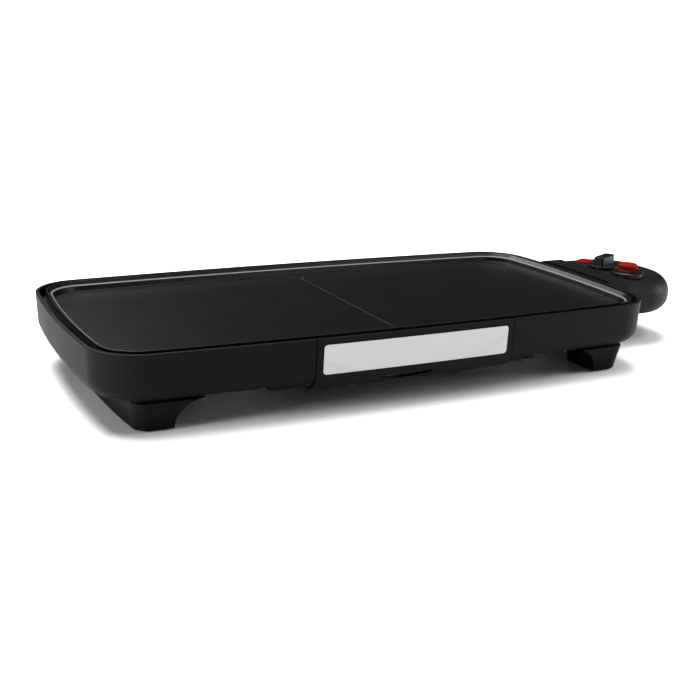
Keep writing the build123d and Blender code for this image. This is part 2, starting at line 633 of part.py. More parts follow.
def collar_screws():
    """Two screws from inside the casing's end wall into the collar."""
    screws = []
    for side in SIDES:
        y = CONTROL_Y + side * COLLAR_SCREW_Y
        head_x = rim_x(y, wall_inset(ELEMENT_Z) + WALL + 0.8)
        place = Plane(origin=(head_x, y, ELEMENT_Z), x_dir=(0, 1, 0), z_dir=(-1, 0, 0))
        screws.append(place * screw(0, 0, 0, -14, 1.25, 3.0, 1.8))
    return group(screws)


def box_plan(shrink):
    """D-shaped plan of the control box: straight sides and a round outer end."""
    half = BOX_HALF - shrink
    tip = BOX_TIP_X - shrink
    r = BOX_CORNER_R - shrink
    corners = [(BOX_X + shrink, -half, 0), (tip, -half, r), (tip, half, r), (BOX_X + shrink, half, 0)]
    return Pos(0, CONTROL_Y) * section(corners)


def box_body(shrink):
    """Pillow-edged solid of the control box, or of its hollow."""
    low, high = BOX_Z + shrink, BOX_TOP_Z - shrink
    body = Pos(0, 0, low) * extrude(box_plan(shrink), high - low)
    top = body.faces().sort_by(Axis.Z)[-1].edges().filter_by(lambda e: e.center().X > BOX_X + shrink + 1)
    body = fillet(top, BOX_TOP_ROUND - shrink)
    base = body.faces().sort_by(Axis.Z)[0].edges().filter_by(lambda e: e.center().X > BOX_X + shrink + 1)
    return fillet(base, BOX_BASE_ROUND - shrink)


BOX_SCREWS = [(311.5, CONTROL_Y - 53), (311.5, CONTROL_Y + 53), (370.0, CONTROL_Y)]


def box_shell():
    """Both halves of the control box in one, before they are parted at the seam."""
    hollow = box_body(BOX_WALL)
    shell = box_body(0) - hollow
    for x, y in BOX_SCREWS:
        shell += rod(x, y, BOX_Z + 1, BOX_TOP_Z - 1, 4.2) & box_body(1.0)
    plug = block(BOX_X - 1, BOX_X + 5, CONTROL_Y - PLUG_HALF, CONTROL_Y + PLUG_HALF, PLUG_LOW_Z, PLUG_HIGH_Z)
    return shell - plug


def control_upper_shell(shell):
    """Upper half, with openings for the knob shaft, the button, the pilot light and the lead's gland."""
    body = shell & block(BOX_X - 1, 400, -80, 90, BOX_SEAM_Z + 0.1, 80)
    body -= rod(KNOB_X, KNOB_Y, 60, 80, 3.3)
    body -= rod(KNOB_X, BUTTON_Y, 60, 80, 6.4)
    body -= rod(KNOB_X, PILOT_Y, 60, 80, PILOT_R - 1)
    body -= rod_y(GLAND_X, CONTROL_Y + BOX_HALF - 5, CONTROL_Y + BOX_HALF + 1, GLAND_Z, 5.2)
    for x, y in BOX_SCREWS:
        body -= rod(x, y, 40, 56, 1.3)
    return body


def control_lower_shell(shell):
    """Lower half, with counterbored screw posts."""
    body = shell & block(BOX_X - 1, 400, -80, 90, 20, BOX_SEAM_Z - 0.1)
    for x, y in BOX_SCREWS:
        body -= rod(x, y, 20, 50, 1.7)
        body -= rod(x, y, 20, BOX_Z + 4, 3.4)
    return body


def shell_screws():
    """Three screws, up from below into the upper half."""
    upwards = Plane(origin=(0, 0, BOX_Z + 4), x_dir=(1, 0, 0), z_dir=(0, 0, -1))
    return group(upwards * screw(x, -y, 0, -20, 1.25, 3.0, 1.8) for x, y in BOX_SCREWS)


def contact_carrier():
    """Plug block on the control, with bores for the two contacts and the probe."""
    half = PLUG_HALF - 0.1
    body = block(285, 307.5, CONTROL_Y - half, CONTROL_Y + half, PLUG_LOW_Z + 0.1, PLUG_HIGH_Z - 0.1)
    for side in SIDES:
        body -= rod_x(280, 310, CONTROL_Y + side * PIN_Y, ELEMENT_Z, 3.25)
    body -= rod_x(280, 310, CONTROL_Y, ELEMENT_Z, 2.55)
    return body


def contact_sleeves():
    """Brass sleeves that grip the element's pins."""
    return group(
        rod_x(285.5, 306.5, CONTROL_Y + s * PIN_Y, ELEMENT_Z, 3.2)
        - rod_x(280, 302, CONTROL_Y + s * PIN_Y, ELEMENT_Z, 2.06)
        for s in SIDES
    )


def sensor_probe():
    """Thermostat's probe, which reaches in under the plate, with a rounded tip."""
    rod_body = rod_x(215, 308.8, CONTROL_Y, ELEMENT_Z, 2.5)
    return fillet(rod_body.faces().sort_by(Axis.X)[0].edges(), 2.0)


def thermostat_body():
    """Thermostat switch below the knob, with the bush that its shaft turns in."""
    body = block(309, 335, CONTROL_Y - 13, CONTROL_Y + 13, 44, 62)
    body += rod(KNOB_X, KNOB_Y, 61, BOX_TOP_Z - BOX_WALL - 0.1, 5)
    return body - rod(KNOB_X, KNOB_Y, 50, 80, 3.05)


def knob_shaft():
    """Steel spindle that turns with the knob."""
    return rod(KNOB_X, KNOB_Y, 50.3, 80, 3.0)


def knob():
    """Round dial with a tall straight grip bar across it."""
    dial = rod(0, 0, BOX_TOP_Z + 0.3, BOX_TOP_Z + 4, KNOB_R)
    dial = fillet(dial.faces().sort_by(Axis.Z)[-1].edges(), 1.4)
    bar = rounded_block(-15.5, 15.5, -5.75, 5.75, BOX_TOP_Z + 3.5, BAR_TOP_Z, 2.2)
    bar = fillet(bar.faces().sort_by(Axis.Z)[-1].edges(), 1.0)
    body = dial + bar - rod(0, 0, 60, 80.1, 3.02)
    return Pos(KNOB_X, KNOB_Y, 0) * Rot(0, 0, KNOB_TURN) * body


def button_collar():
    """Black ring round the push button."""
    rise = [(BUTTON_R + 0.5, 0), (BUTTON_COLLAR_R, 0), (BUTTON_COLLAR_R, 2.4)]
    rise += [(BUTTON_COLLAR_R - 1.2, 4.0), (BUTTON_R + 1.0, 4.4), (BUTTON_R + 0.5, 4.0)]
    return turned(KNOB_X, BUTTON_Y, [(r, BOX_TOP_Z + z) for r, z in rise])


def power_button():
    """Red push button: a skirt, a waist and a domed cap, on a stem with a plunger."""
    stem = [(0, 53), (1.5, 53), (1.5, 60), (6, 60)]
    cap = [(6, 2.8), (BUTTON_R, 2.8), (BUTTON_R, 5.2), (11.4, 7.2), (10.0, 8.2), (10.4, 9.6)]
    cap += [(10.2, 11.0), (9.0, 12.4), (6.5, 13.2), (3.2, 13.6), (0, 13.7)]
    return turned(KNOB_X, BUTTON_Y, stem + [(r, BOX_TOP_Z + z) for r, z in cap])


def button_spring():
    """Return spring between the switch and the button's stem."""
    path = Pos(KNOB_X, BUTTON_Y, 50.5) * Helix(pitch=2.2, height=8.8, radius=3.6)
    start = Plane(origin=path @ 0, z_dir=path % 0)
    return sweep(start * Circle(0.4), path=path, is_frenet=True)


def microswitch():
    """On and off switch, below the button."""
    body = block(314, 330, BUTTON_Y - 7, BUTTON_Y + 7, BOX_Z + BOX_WALL, 49.9)
    return body - rod(KNOB_X, BUTTON_Y, 47, 51, 1.7)


def pilot_lens():
    """Red pilot light lens, held by a flange under the shell."""
    inside = BOX_TOP_Z - BOX_WALL - 0.1
    points = [(0, inside - 2), (PILOT_R + 1, inside - 2), (PILOT_R + 1, inside), (PILOT_R - 1.1, inside)]
    dome = [(PILOT_R - 1.1, 1.0), (PILOT_R * 0.76, 2.0), (PILOT_R * 0.42, 2.7), (0, 3.0)]
    return turned(KNOB_X, PILOT_Y, points + [(r, BOX_TOP_Z + z) for r, z in dome])


def pilot_lamp():
    """Neon lamp below the lens, in its holder."""
    holder = block(316, 328, PILOT_Y - 6, PILOT_Y + 3, BOX_Z + BOX_WALL, 52)
    bulb = fillet(rod(KNOB_X, PILOT_Y, 51, 63, 2.6).faces().sort_by(Axis.Z)[-1].edges(), 2.2)
    return holder + bulb


def cord_gland():
    """Rubber bush for the mains lead, through the back of the control box."""
    wall = CONTROL_Y + BOX_HALF
    inside = wall - BOX_WALL - 1.0
    points = [(FLEX_R, wall - 5.4), (6.0, wall - 5.4), (6.0, inside), (5.0, inside)]
    points += [(5.0, wall + 0.1), (6.4, wall + 0.1), (6.4, wall + 2.2), (5.6, wall + 4), (4.8, wall + 14)]
    points += [(FLEX_R, wall + 14)]
    profile = revolve(Plane.XY * make_face(Polyline(*points, close=True)), Axis.Y)
    return Pos(GLAND_X, 0, GLAND_Z) * profile


def cord_clamp():
    """Bar that clamps the lead inside the box."""
    y = CONTROL_Y + BOX_HALF - 21
    body = block(GLAND_X - 9, GLAND_X + 9, y - 4, y + 4, BOX_Z + BOX_WALL, 44)
    return body - rod_y(GLAND_X, y - 5, y + 5, GLAND_Z, 6.2)


# ---- Writing the nodes ------------------------------------------------------------------------------------
LEFT_END = -LENGTH / 2
BODY_X = -(LEFT_END + BOX_TIP_X) / 2
CORNERS = {"front_left": (-1, -1), "front_right": (1, -1), "rear_left": (-1, 1), "rear_right": (1, 1)}

shell = box_shell()
NODES = {
    "casing": casing(),
    "foot_rail_left": foot_rail(-1),
    "foot_rail_right": foot_rail(1),
    "foot_screws": foot_screws(),
    "base_pan": base_pan(),
    "base_screws": base_screws(),
    "reflector": reflector(),
    "reflector_posts": reflector_posts(),
    "reflector_screws": reflector_screws(),
    "heating_element": heating_element(),
    "terminal_pins": terminal_pins(),
    "terminal_block": terminal_block(),
    "element_cradles": element_cradles(),
    "griddle_plate": griddle_plate(),
    "drawer_front": drawer_front(),
    "drawer_trim_plate": drawer_trim_plate(),
    "drawer_tray": drawer_tray(),
    "drawer_screws": drawer_screws(),
    "drawer_runner_left": runner(-1),
    "drawer_runner_right": runner(1),
    "runner_screws": runner_screws(),
    "docking_collar": docking_collar(),
    "collar_screws": collar_screws(),
    "control_upper_shell": control_upper_shell(shell),
    "control_lower_shell": control_lower_shell(shell),
    "shell_screws": shell_screws(),
    "contact_carrier": contact_carrier(),
    "contact_sleeves": contact_sleeves(),
    "sensor_probe": sensor_probe(),
    "thermostat_body": thermostat_body(),
    "knob_shaft": knob_shaft(),
    "temperature_knob": knob(),
    "button_collar": button_collar(),
    "power_button": power_button(),
    "button_spring": button_spring(),
    "microswitch": microswitch(),
    "pilot_lens": pilot_lens(),
    "pilot_lamp": pilot_lamp(),
    "cord_gland": cord_gland(),
    "cord_clamp": cord_clamp(),
}
for corner, (side_x, side_y) in CORNERS.items():
    NODES["foot_pad_" + corner] = foot_pad(side_x, side_y)

os.makedirs("parts", exist_ok=True)
for name, shape in NODES.items():
    export_step(Pos(BODY_X, 0, 0) * shape, f"parts/{name}.step")
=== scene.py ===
import logging
from abc import ABC, abstractmethod
from collections.abc import Iterable, Iterator, Sequence
from dataclasses import dataclass
from enum import Enum
from math import acos, atan2, cos, degrees, pi, radians, sin, sqrt, tan

import bmesh
import bpy
from mathutils import Matrix, Vector


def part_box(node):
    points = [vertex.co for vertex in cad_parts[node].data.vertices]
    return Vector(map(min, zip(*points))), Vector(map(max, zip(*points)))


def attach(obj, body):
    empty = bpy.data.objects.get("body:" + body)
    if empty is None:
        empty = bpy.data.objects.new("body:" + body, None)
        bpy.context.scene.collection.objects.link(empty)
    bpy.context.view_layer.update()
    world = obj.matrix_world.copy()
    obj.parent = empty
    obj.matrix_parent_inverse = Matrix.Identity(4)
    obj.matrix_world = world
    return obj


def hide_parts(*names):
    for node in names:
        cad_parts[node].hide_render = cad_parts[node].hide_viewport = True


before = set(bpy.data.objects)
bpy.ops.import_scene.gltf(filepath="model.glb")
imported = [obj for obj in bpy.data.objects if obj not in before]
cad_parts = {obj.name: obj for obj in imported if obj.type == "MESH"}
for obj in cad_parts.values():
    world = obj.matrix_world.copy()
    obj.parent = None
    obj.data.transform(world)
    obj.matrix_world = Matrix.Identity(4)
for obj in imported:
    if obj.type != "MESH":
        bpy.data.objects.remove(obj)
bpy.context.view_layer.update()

# Looks of an electric griddle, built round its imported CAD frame. Shapes are drawn in millimetres about the
# middle of the casing, as a draughtsman would, and every finished mesh is scaled to metres and moved to its
# place in the frame by Piece.build. Front is -Y, the control is at +X and the table top is at Z = 0.

CASING_LOW, CASING_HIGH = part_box("casing")
MM = 0.001
TO_FRAME = Matrix.Translation(((CASING_LOW.x + CASING_HIGH.x) / 2, 0, 0)) @ Matrix.Scale(MM, 4)
SIDES = (-1, 1)
ROUND_STEP = 11.0          # degrees between points on a rounded corner
SHARP_EDGE = radians(32)   # edges that turn more than this stay crisp
DRAWER_X = 2.0             # middle of the drawer
FOOT_X, FOOT_Y = 232.0, 97.0
CONTROL_Y = 3.5            # middle of the control and of the heating tube's ends
DECK_X, DECK_Z = 322.0, 70.5                       # line of the controls, and the box's top
DIAL_Y, BUTTON_Y, PILOT_Y = 7.0, -32.5, 39.0
log = logging.getLogger("griddle")

Point = tuple[float, float]
Triple = tuple[float, float, float]
Corner = Triple    # place and radius
Colour = Triple
Solid = bpy.types.Object


# ---- Outlines ----------------------------------------------------------------------------------------------
def rounded(corners: Sequence[Corner], step: float = ROUND_STEP) -> list[Point]:
    """Closed outline with rounded corners.

    Args:
        corners: each corner's place and radius; a radius of 0 keeps it sharp.
        step: degrees between the points of an arc.

    Returns:
        The outline's points, in the order of its corners.
    """
    points: list[Point] = []
    for i, (x, y, r) in enumerate(corners):
        here = Vector((x, y))
        before = Vector(corners[i - 1][:2]) - here
        after = Vector(corners[(i + 1) % len(corners)][:2]) - here
        if r <= 0:
            points.append((x, y))
            continue
        half = before.angle(after) / 2
        centre = here + (before.normalized() + after.normalized()).normalized() * r / sin(half)
        first = here + before.normalized() * r / tan(half) - centre
        last = here + after.normalized() * r / tan(half) - centre
        turn = first.angle_signed(last)
        count = max(2, round(abs(degrees(turn)) / step))
        for n in range(count + 1):
            spoke = first.copy()
            spoke.rotate(Matrix.Rotation(-turn * n / count, 2))
            points.append(tuple(centre + spoke))
    return points


def oblong(width: float, height: float, r: float, x: float = 0, y: float = 0) -> list[Point]:
    """Outline of a rectangle with rounded corners, anticlockwise, about x and y."""
    a, b = width / 2, height / 2
    return rounded([(x - a, y - b, r), (x + a, y - b, r), (x + a, y + b, r), (x - a, y + b, r)])


@dataclass(frozen=True)
class Arc:
    """One arc of the rim line, with its angles in degrees."""

    x: float
    y: float
    r: float
    start: float
    sweep: float

    def point(self, share: float, inset: float = 0.0) -> Point:
        """Point at a share of the arc's length, so far inside the rim line."""
        angle = radians(self.start + self.sweep * share)
        return self.x + (self.r - inset) * cos(angle), self.y + (self.r - inset) * sin(angle)

    def share_at_x(self, x: float) -> float:
        """Share of the arc's length at which a front arc reaches x."""
        return (360 - degrees(acos((x - self.x) / self.r)) - self.start) / self.sweep


@dataclass(frozen=True)
class Rim:
    """Bowed outline that the casing, the plate and the drawer's front all follow."""

    length: float = 560.0
    depth: float = 282.4
    corner_r: float = 45.6
    long_bow: float = 8.65
    short_bow: float = 9.69
    long_steps: int = 56
    short_steps: int = 30
    corner_steps: int = 20

    def bow_radius(self, span: float, bow: float) -> float:
        """Radius of a side of that span which bulges by that bow."""
        return ((span / 2) ** 2 + bow**2) / (2 * bow)

    def arcs(self) -> list[Arc]:
        """The eight tangent arcs, anticlockwise from the right-hand end.

        Returns:
            The arcs, in order.
        """
        long_r = self.bow_radius(self.length, self.long_bow)
        short_r = self.bow_radius(self.depth, self.short_bow)
        long_y = self.depth / 2 - long_r
        short_x = self.length / 2 - short_r
        apart = sqrt(short_x**2 + long_y**2)
        from_long, from_short = long_r - self.corner_r, short_r - self.corner_r
        along = (from_long**2 - from_short**2 + apart**2) / (2 * apart)
        across = sqrt(from_long**2 - along**2)
        unit_x, unit_y = short_x / apart, -long_y / apart
        foot_x, foot_y = along * unit_x, long_y + along * unit_y
        spots = [(foot_x + s * across * unit_y, foot_y - s * across * unit_x) for s in SIDES]
        cx, cy = next(spot for spot in spots if min(spot) > 0)
        low = degrees(atan2(cy, cx - short_x))
        high = degrees(atan2(cy - long_y, cx))
        r, corner = self.corner_r, high - low
        return [
            Arc(short_x, 0, short_r, -low, 2 * low),
            Arc(cx, cy, r, low, corner),
            Arc(0, long_y, long_r, high, 180 - 2 * high),
            Arc(-cx, cy, r, 180 - high, corner),
            Arc(-short_x, 0, short_r, 180 - low, 2 * low),
            Arc(-cx, -cy, r, 180 + low, corner),
            Arc(0, -long_y, long_r, 180 + high, 180 - 2 * high),
            Arc(cx, -cy, r, 360 - high, corner),
        ]

    def steps(self) -> list[int]:
        """Number of spans on each arc."""
        half = [self.short_steps, self.corner_steps, self.long_steps, self.corner_steps]
        return half + half

    def loop(self, inset: float = 0.0) -> list[Point]:
        """The whole outline, so far inside the rim line."""
        pairs = zip(self.arcs(), self.steps())
        return [arc.point(n / count, inset) for arc, count in pairs for n in range(count)]

    def front(self, left: float, right: float, count: int = 30) -> list[Point]:
        """The front of the outline between two places along X.

        Args:
            left: where it starts along X.
            right: where it ends.
            count: number of spans.

        Returns:
            Its points, from left to right.
        """
        arc = self.arcs()[6]
        a, b = arc.share_at_x(left), arc.share_at_x(right)
        return [arc.point(a + (b - a) * n / count) for n in range(count + 1)]

    def open_loop(self, left: float, right: float) -> list[Point]:
        """The outline from right round the back to left, without the front between them.

        Args:
            left: where the missing stretch starts along X.
            right: where it ends.

        Returns:
            The points, anticlockwise.
        """
        arcs, steps = self.arcs(), self.steps()
        front, count = arcs[6], self.long_steps // 2
        a, b = front.share_at_x(left), front.share_at_x(right)
        points = [front.point(b + (1 - b) * n / count) for n in range(count)]
        for i in (7, 0, 1, 2, 3, 4, 5):
            points += [arcs[i].point(n / steps[i]) for n in range(steps[i])]
        return points + [front.point(a * n / count) for n in range(count + 1)]

    def right_x(self, y: float, inset: float = 0.0) -> float:
        """X of the right-hand end at y, so far inside the rim line."""
        arc = self.arcs()[0]
        return arc.x + sqrt((arc.r - inset) ** 2 - y**2)


RIM = Rim()


# ---- Mesh work ---------------------------------------------------------------------------------------------
def link(name: str, data: bpy.types.ID) -> Solid:
    """Puts new object data in the scene.

    Args:
        name: name of the object.
        data: its mesh, curve, light or camera.

    Returns:
        The new object.
    """
    made = bpy.data.objects.new(name, data)
    bpy.context.scene.collection.objects.link(made)
    return made


def from_bmesh(name: str, bm: bmesh.types.BMesh, outwards: bool = True) -> Solid:
    """Makes an object of a bmesh, with its faces turned outwards.

    Args:
        name: name of the object.
        bm: the shape, which is freed.
        outwards: False keeps the faces as they are.

    Returns:
        The new object.
    """
    if outwards:
        bmesh.ops.remove_doubles(bm, verts=bm.verts, dist=1e-5)
        bmesh.ops.recalc_face_normals(bm, faces=bm.faces)
    mesh = bpy.data.meshes.new(name)
    bm.to_mesh(mesh)
    bm.free()
    return link(name, mesh)


def lofted(name: str, loops: Sequence[Sequence[Vector]], cap: bool = True, close: bool = False) -> Solid:
    """Skin over loops that have the same number of points.

    Args:
        name: name of the object.
        loops: closed loops in order.
        cap: whether the first and last loops are filled.
        close: whether the last loop joins the first.

    Returns:
        The new object.
    """
    bm = bmesh.new()
    rows = [[bm.verts.new(p) for p in loop] for loop in loops]
    pairs = list(zip(rows, rows[1:])) + ([(rows[-1], rows[0])] if close else [])
    for low, high in pairs:
        for n in range(len(low)):
            bm.faces.new((low[n - 1], low[n], high[n], high[n - 1]))
    if cap and not close:
        bm.faces.new(rows[0])
        bm.faces.new(rows[-1])
    return from_bmesh(name, bm)


def upright(name: str, outline: Sequence[Point], low: float, high: float) -> Solid:
    """Upright prism over an outline."""
    return lofted(name, [[Vector((x, y, z)) for x, y in outline] for z in (low, high)])


def facing(name: str, outline: Sequence[Point], near: float, far: float) -> Solid:
    """Prism along Y over an outline given in X and Z."""
    return lofted(name, [[Vector((x, y, z)) for x, z in outline] for y in (near, far)])


def lengthwise(name: str, outline: Sequence[Point], near: float, far: float) -> Solid:
    """Prism along X over an outline given in Y and Z."""
    return lofted(name, [[Vector((x, y, z)) for y, z in outline] for x in (near, far)])


def circle(r: float, x: float = 0, y: float = 0, count: int = 48) -> list[Point]:
    """Points round a circle."""
    return [(x + r * cos(2 * pi * n / count), y + r * sin(2 * pi * n / count)) for n in range(count)]


def turned(name: str, profile: Sequence[Point], x: float, y: float, count: int = 64) -> Solid:
    """Turned shape about an upright axis.

    Args:
        name: name of the object.
        profile: closed outline as radius and height; points on the axis have radius 0.
        x: place of the axis along X.
        y: place of the axis along Y.
        count: number of faces round the axis.

    Returns:
        The new object.
    """
    bm = bmesh.new()
    verts = [bm.verts.new((r, 0, z)) for r, z in profile]
    edges = [bm.edges.new((verts[n - 1], verts[n])) for n in range(len(verts))]
    spun = {"cent": (0, 0, 0), "axis": (0, 0, 1), "angle": 2 * pi, "steps": count, "use_merge": True}
    bmesh.ops.spin(bm, geom=verts + edges, **spun)
    bmesh.ops.remove_doubles(bm, verts=bm.verts, dist=1e-4)
    bmesh.ops.dissolve_degenerate(bm, dist=1e-5, edges=bm.edges)
    loose = [e for e in bm.edges if not e.link_faces]
    bmesh.ops.delete(bm, geom=loose, context="EDGES")
    bmesh.ops.translate(bm, verts=bm.verts, vec=(x, y, 0))
    return from_bmesh(name, bm)


def curve(name: str, points: Sequence[Sequence[float]], closed: bool) -> Solid:
    """Curve object of straight spans through points.

    Args:
        name: name of the object.
        points: places, of which the third number may be left out.
        closed: whether it closes on itself.

    Returns:
        The new object.
    """
    data = bpy.data.curves.new(name, "CURVE")
    data.dimensions = "3D"
    spline = data.splines.new("POLY")
    spline.points.add(len(points) - 1)
    for point, place in zip(spline.points, points):
        point.co = (*place, *[0.0] * (3 - len(place)), 1.0)
    spline.use_cyclic_u = closed
    return link(name, data)


def discard(*things: Solid) -> None:
    """Removes helper objects."""
    for thing in things:
        bpy.data.objects.remove(thing)


def bake(thing: Solid) -> Solid:
    """Turns an object with its modifiers into a plain mesh object of the same name.

    Args:
        thing: the object, which is used up.

    Returns:
        The plain mesh object.
    """
    bpy.context.view_layer.update()
    seen = thing.evaluated_get(bpy.context.evaluated_depsgraph_get())
    mesh = bpy.data.meshes.new_from_object(seen)
    name = thing.name
    discard(thing)
    return link(name, mesh)


def cut(target: Solid, *cutters: Solid, keep_common: bool = False) -> Solid:
    """Cuts shapes away from a solid, or keeps only what is common to them.

    Args:
        target: the solid.
        cutters: the shapes, which are used up.
        keep_common: True keeps the common part instead.

    Returns:
        The result, under the target's name.
    """
    for cutter in cutters:
        step = target.modifiers.new("cut", "BOOLEAN")
        step.object = cutter
        step.solver = "EXACT"
        step.operation = "INTERSECT" if keep_common else "DIFFERENCE"
    target = bake(target)
    discard(*cutters)
    return target


def soften(target: Solid, width: float, segments: int = 2, turn: float = 34.0) -> Solid:
    """Rounds the edges that turn by more than so many degrees.

    Args:
        target: the solid, which is used up.
        width: width of the rounding.
        segments: number of faces across it.
        turn: the least turn, in degrees.

    Returns:
        The result, under the same name.
    """
    step = target.modifiers.new("soften", "BEVEL")
    step.width = width
    step.segments = segments
    step.limit_method = "ANGLE"
    step.angle_limit = radians(turn)
    step.use_clamp_overlap = True
    return bake(target)


def ring_slot(name: str, outer: Sequence[Point], inner: Sequence[Point], low: float, high: float) -> Solid:
    """Upright ring between two outlines of as many points."""
    places = [(outer, low), (outer, high), (inner, high), (inner, low)]
    return lofted(name, [[Vector((x, y, z)) for x, y in line] for line, z in places], close=True)


# ---- Node trees --------------------------------------------------------------------------------------------
class Number:
    """A number on a shader socket, so that maths on it reads as a Python expression."""

    def __init__(self, tree: "NodeTree", socket: bpy.types.NodeSocket) -> None:
        """Keeps the socket and the tree that it belongs to."""
        self.tree = tree
        self.socket = socket

    def maths(self, operation: str, first: object, second: object) -> "Number":
        """Adds one Math node."""
        node = self.tree.add("Math", {"operation": operation}, {0: first, 1: second})
        return Number(self.tree, node.outputs[0])

    def __add__(self, other: "Number | float") -> "Number":
        """Sum."""
        return self.maths("ADD", self, other)

    __radd__ = __add__

    def __sub__(self, other: "Number | float") -> "Number":
        """Difference."""
        return self.maths("SUBTRACT", self, other)

    def __rsub__(self, other: "Number | float") -> "Number":
        """Difference, with the number second."""
        return self.maths("SUBTRACT", other, self)

    def __mul__(self, other: "Number | float") -> "Number":
        """Product."""
        return self.maths("MULTIPLY", self, other)

    __rmul__ = __mul__


class NodeTree:
    """A node tree, with one method that adds every kind of node."""

    def __init__(self, tree: bpy.types.NodeTree, prefix: str) -> None:
        """Keeps the tree and the prefix of its own kinds of node."""
        self.tree = tree
        self.prefix = prefix

    def add(self, kind: str, settings: dict[str, object], inputs: dict[str | int, object]) -> bpy.types.Node:
        """Adds a node.

        Args:
            kind: the node's type, without the tree's own prefix.
            settings: properties, which are set first; "stops" gives a ramp's places and brightnesses.
            inputs: values, sockets or numbers for its inputs, by name or number.

        Returns:
            The node.
        """
        whole = kind.startswith(("ShaderNode", "FunctionNode", "NodeGroup"))
        node = self.tree.nodes.new(kind if whole else self.prefix + kind)
        for key, value in settings.items():
            if key == "stops":
                self.set_stops(node.color_ramp, value)
            else:
                setattr(node, key, value)
        for key, value in inputs.items():
            source = value.socket if isinstance(value, Number) else value
            if isinstance(source, bpy.types.NodeSocket):
                self.tree.links.new(source, node.inputs[key])
            else:
                node.inputs[key].default_value = source
        return node

    def set_stops(self, ramp: bpy.types.ColorRamp, stops: Sequence[Point]) -> None:
        """Sets a grey ramp's stops.

        Args:
            ramp: the ramp.
            stops: each stop's place and brightness.
        """
        while len(ramp.elements) < len(stops):
            ramp.elements.new(1.0)
        for element, (place, level) in zip(ramp.elements, stops):
            element.position = place
            element.color = (level, level, level, 1)


class GeometryTree(NodeTree):
    """A Geometry Nodes tree with named inputs, which ends in Realize Instances and Set Material."""

    def __init__(self, name: str, inputs: dict[str, str]) -> None:
        """Starts the tree.

        Args:
            name: name of the tree.
            inputs: each input's name and socket type; the finish is added to them.
        """
        super().__init__(bpy.data.node_groups.new(name, "GeometryNodeTree"), "GeometryNode")
        face = self.tree.interface
        face.new_socket("Geometry", in_out="INPUT", socket_type="NodeSocketGeometry")
        for label, kind in {**inputs, "Finish": "NodeSocketMaterial"}.items():
            face.new_socket(label, in_out="INPUT", socket_type=kind)
        face.new_socket("Geometry", in_out="OUTPUT", socket_type="NodeSocketGeometry")
        self.start = self.add("NodeGroupInput", {}, {})

    def given(self, label: str) -> bpy.types.NodeSocket:
        """Socket of a named input."""
        return self.start.outputs[label]

    def close(self, geometry: bpy.types.NodeSocket) -> None:
        """Ends the tree in smooth, realized geometry with its finish.

        Args:
            geometry: socket with the tree's result.
        """
        smooth = self.add("SetShadeSmooth", {}, {0: geometry})
        real = self.add("RealizeInstances", {}, {0: smooth.outputs[0]})
        finish = self.add("SetMaterial", {}, {"Geometry": real.outputs[0], "Material": self.given("Finish")})
        self.add("NodeGroupOutput", {}, {0: finish.outputs[0]})

    def apply(self, host: Solid, values: dict[str, object]) -> Solid:
        """Runs the tree on an object and returns the plain mesh that it gives.

        Args:
            host: the object that carries the tree, which is used up.
            values: the inputs' values, by name.

        Returns:
            The plain mesh object.
        """
        step = host.modifiers.new(self.tree.name, "NODES")
        step.node_group = self.tree
        for item in self.tree.interface.items_tree:
            if item.in_out == "INPUT" and item.name in values:
                step[item.identifier] = values[item.name]
        return bake(host)


def sweep_tree() -> GeometryTree:
    """Tree that sweeps a section along a path, both given as curve objects.

    Returns:
        The tree.
    """
    inputs = {"Path": "NodeSocketObject", "Section": "NodeSocketObject", "Fill Ends": "NodeSocketBool"}
    made = GeometryTree("sweep", inputs)
    path = made.add("ObjectInfo", {}, {"Object": made.given("Path")})
    section = made.add("ObjectInfo", {}, {"Object": made.given("Section")})
    level = made.add("SetCurveNormal", {"mode": "Z_UP"}, {"Curve": path.outputs["Geometry"]})
    skin = made.add(
        "CurveToMesh",
        {},
        {
            "Curve": level.outputs[0],
            "Profile Curve": section.outputs["Geometry"],
            "Fill Caps": made.given("Fill Ends"),
        },
    )
    made.close(skin.outputs[0])
    return made


def scatter_tree() -> GeometryTree:
    """Tree that puts a copy of a piece on each point, turned about the piece's own axis at random.

    Returns:
        The tree.
    """
    inputs = {"Piece": "NodeSocketObject", "Tilt": "NodeSocketVector", "Seed": "NodeSocketInt"}
    made = GeometryTree("scatter", inputs)
    piece = made.add("ObjectInfo", {}, {"Object": made.given("Piece")})
    spin = made.add(
        "FunctionNodeRandomValue",
        {"data_type": "FLOAT_VECTOR"},
        {0: (0.0, 0.0, 0.0), 1: (0.0, 0.0, 2 * pi), "Seed": made.given("Seed")},
    )
    turn = made.add(
        "FunctionNodeRotateEuler",
        {"rotation_type": "EULER", "space": "LOCAL"},
        {"Rotation": made.given("Tilt"), "Rotate By": spin.outputs[0]},
    )
    copies = made.add(
        "InstanceOnPoints",
        {},
        {
            "Points": made.given("Geometry"),
            "Instance": piece.outputs["Geometry"],
            "Rotation": turn.outputs[0],
        },
    )
    made.close(copies.outputs[0])
    return made


SWEEP = sweep_tree()
SCATTER = scatter_tree()


def sweep(name: str, path: Sequence[Sequence[float]], section: Sequence[Point], closed: bool) -> Solid:
    """Sweeps a section along a path.

    Args:
        name: name of the new object.
        path: points of the path, anticlockwise round the casing.
        section: closed outline as distance inwards and height above the path.
        closed: whether the path closes on itself.

    Returns:
        The swept solid.
    """
    route = curve(name + ".path", path, closed)
    form = curve(name + ".section", [(-inwards, -up) for inwards, up in section], True)
    host = link(name, bpy.data.meshes.new(name))
    made = SWEEP.apply(host, {"Path": route, "Section": form, "Fill Ends": not closed})
    discard(route, form)
    bm = bmesh.new()
    bm.from_mesh(made.data)
    discard(made)
    return from_bmesh(name, bm)


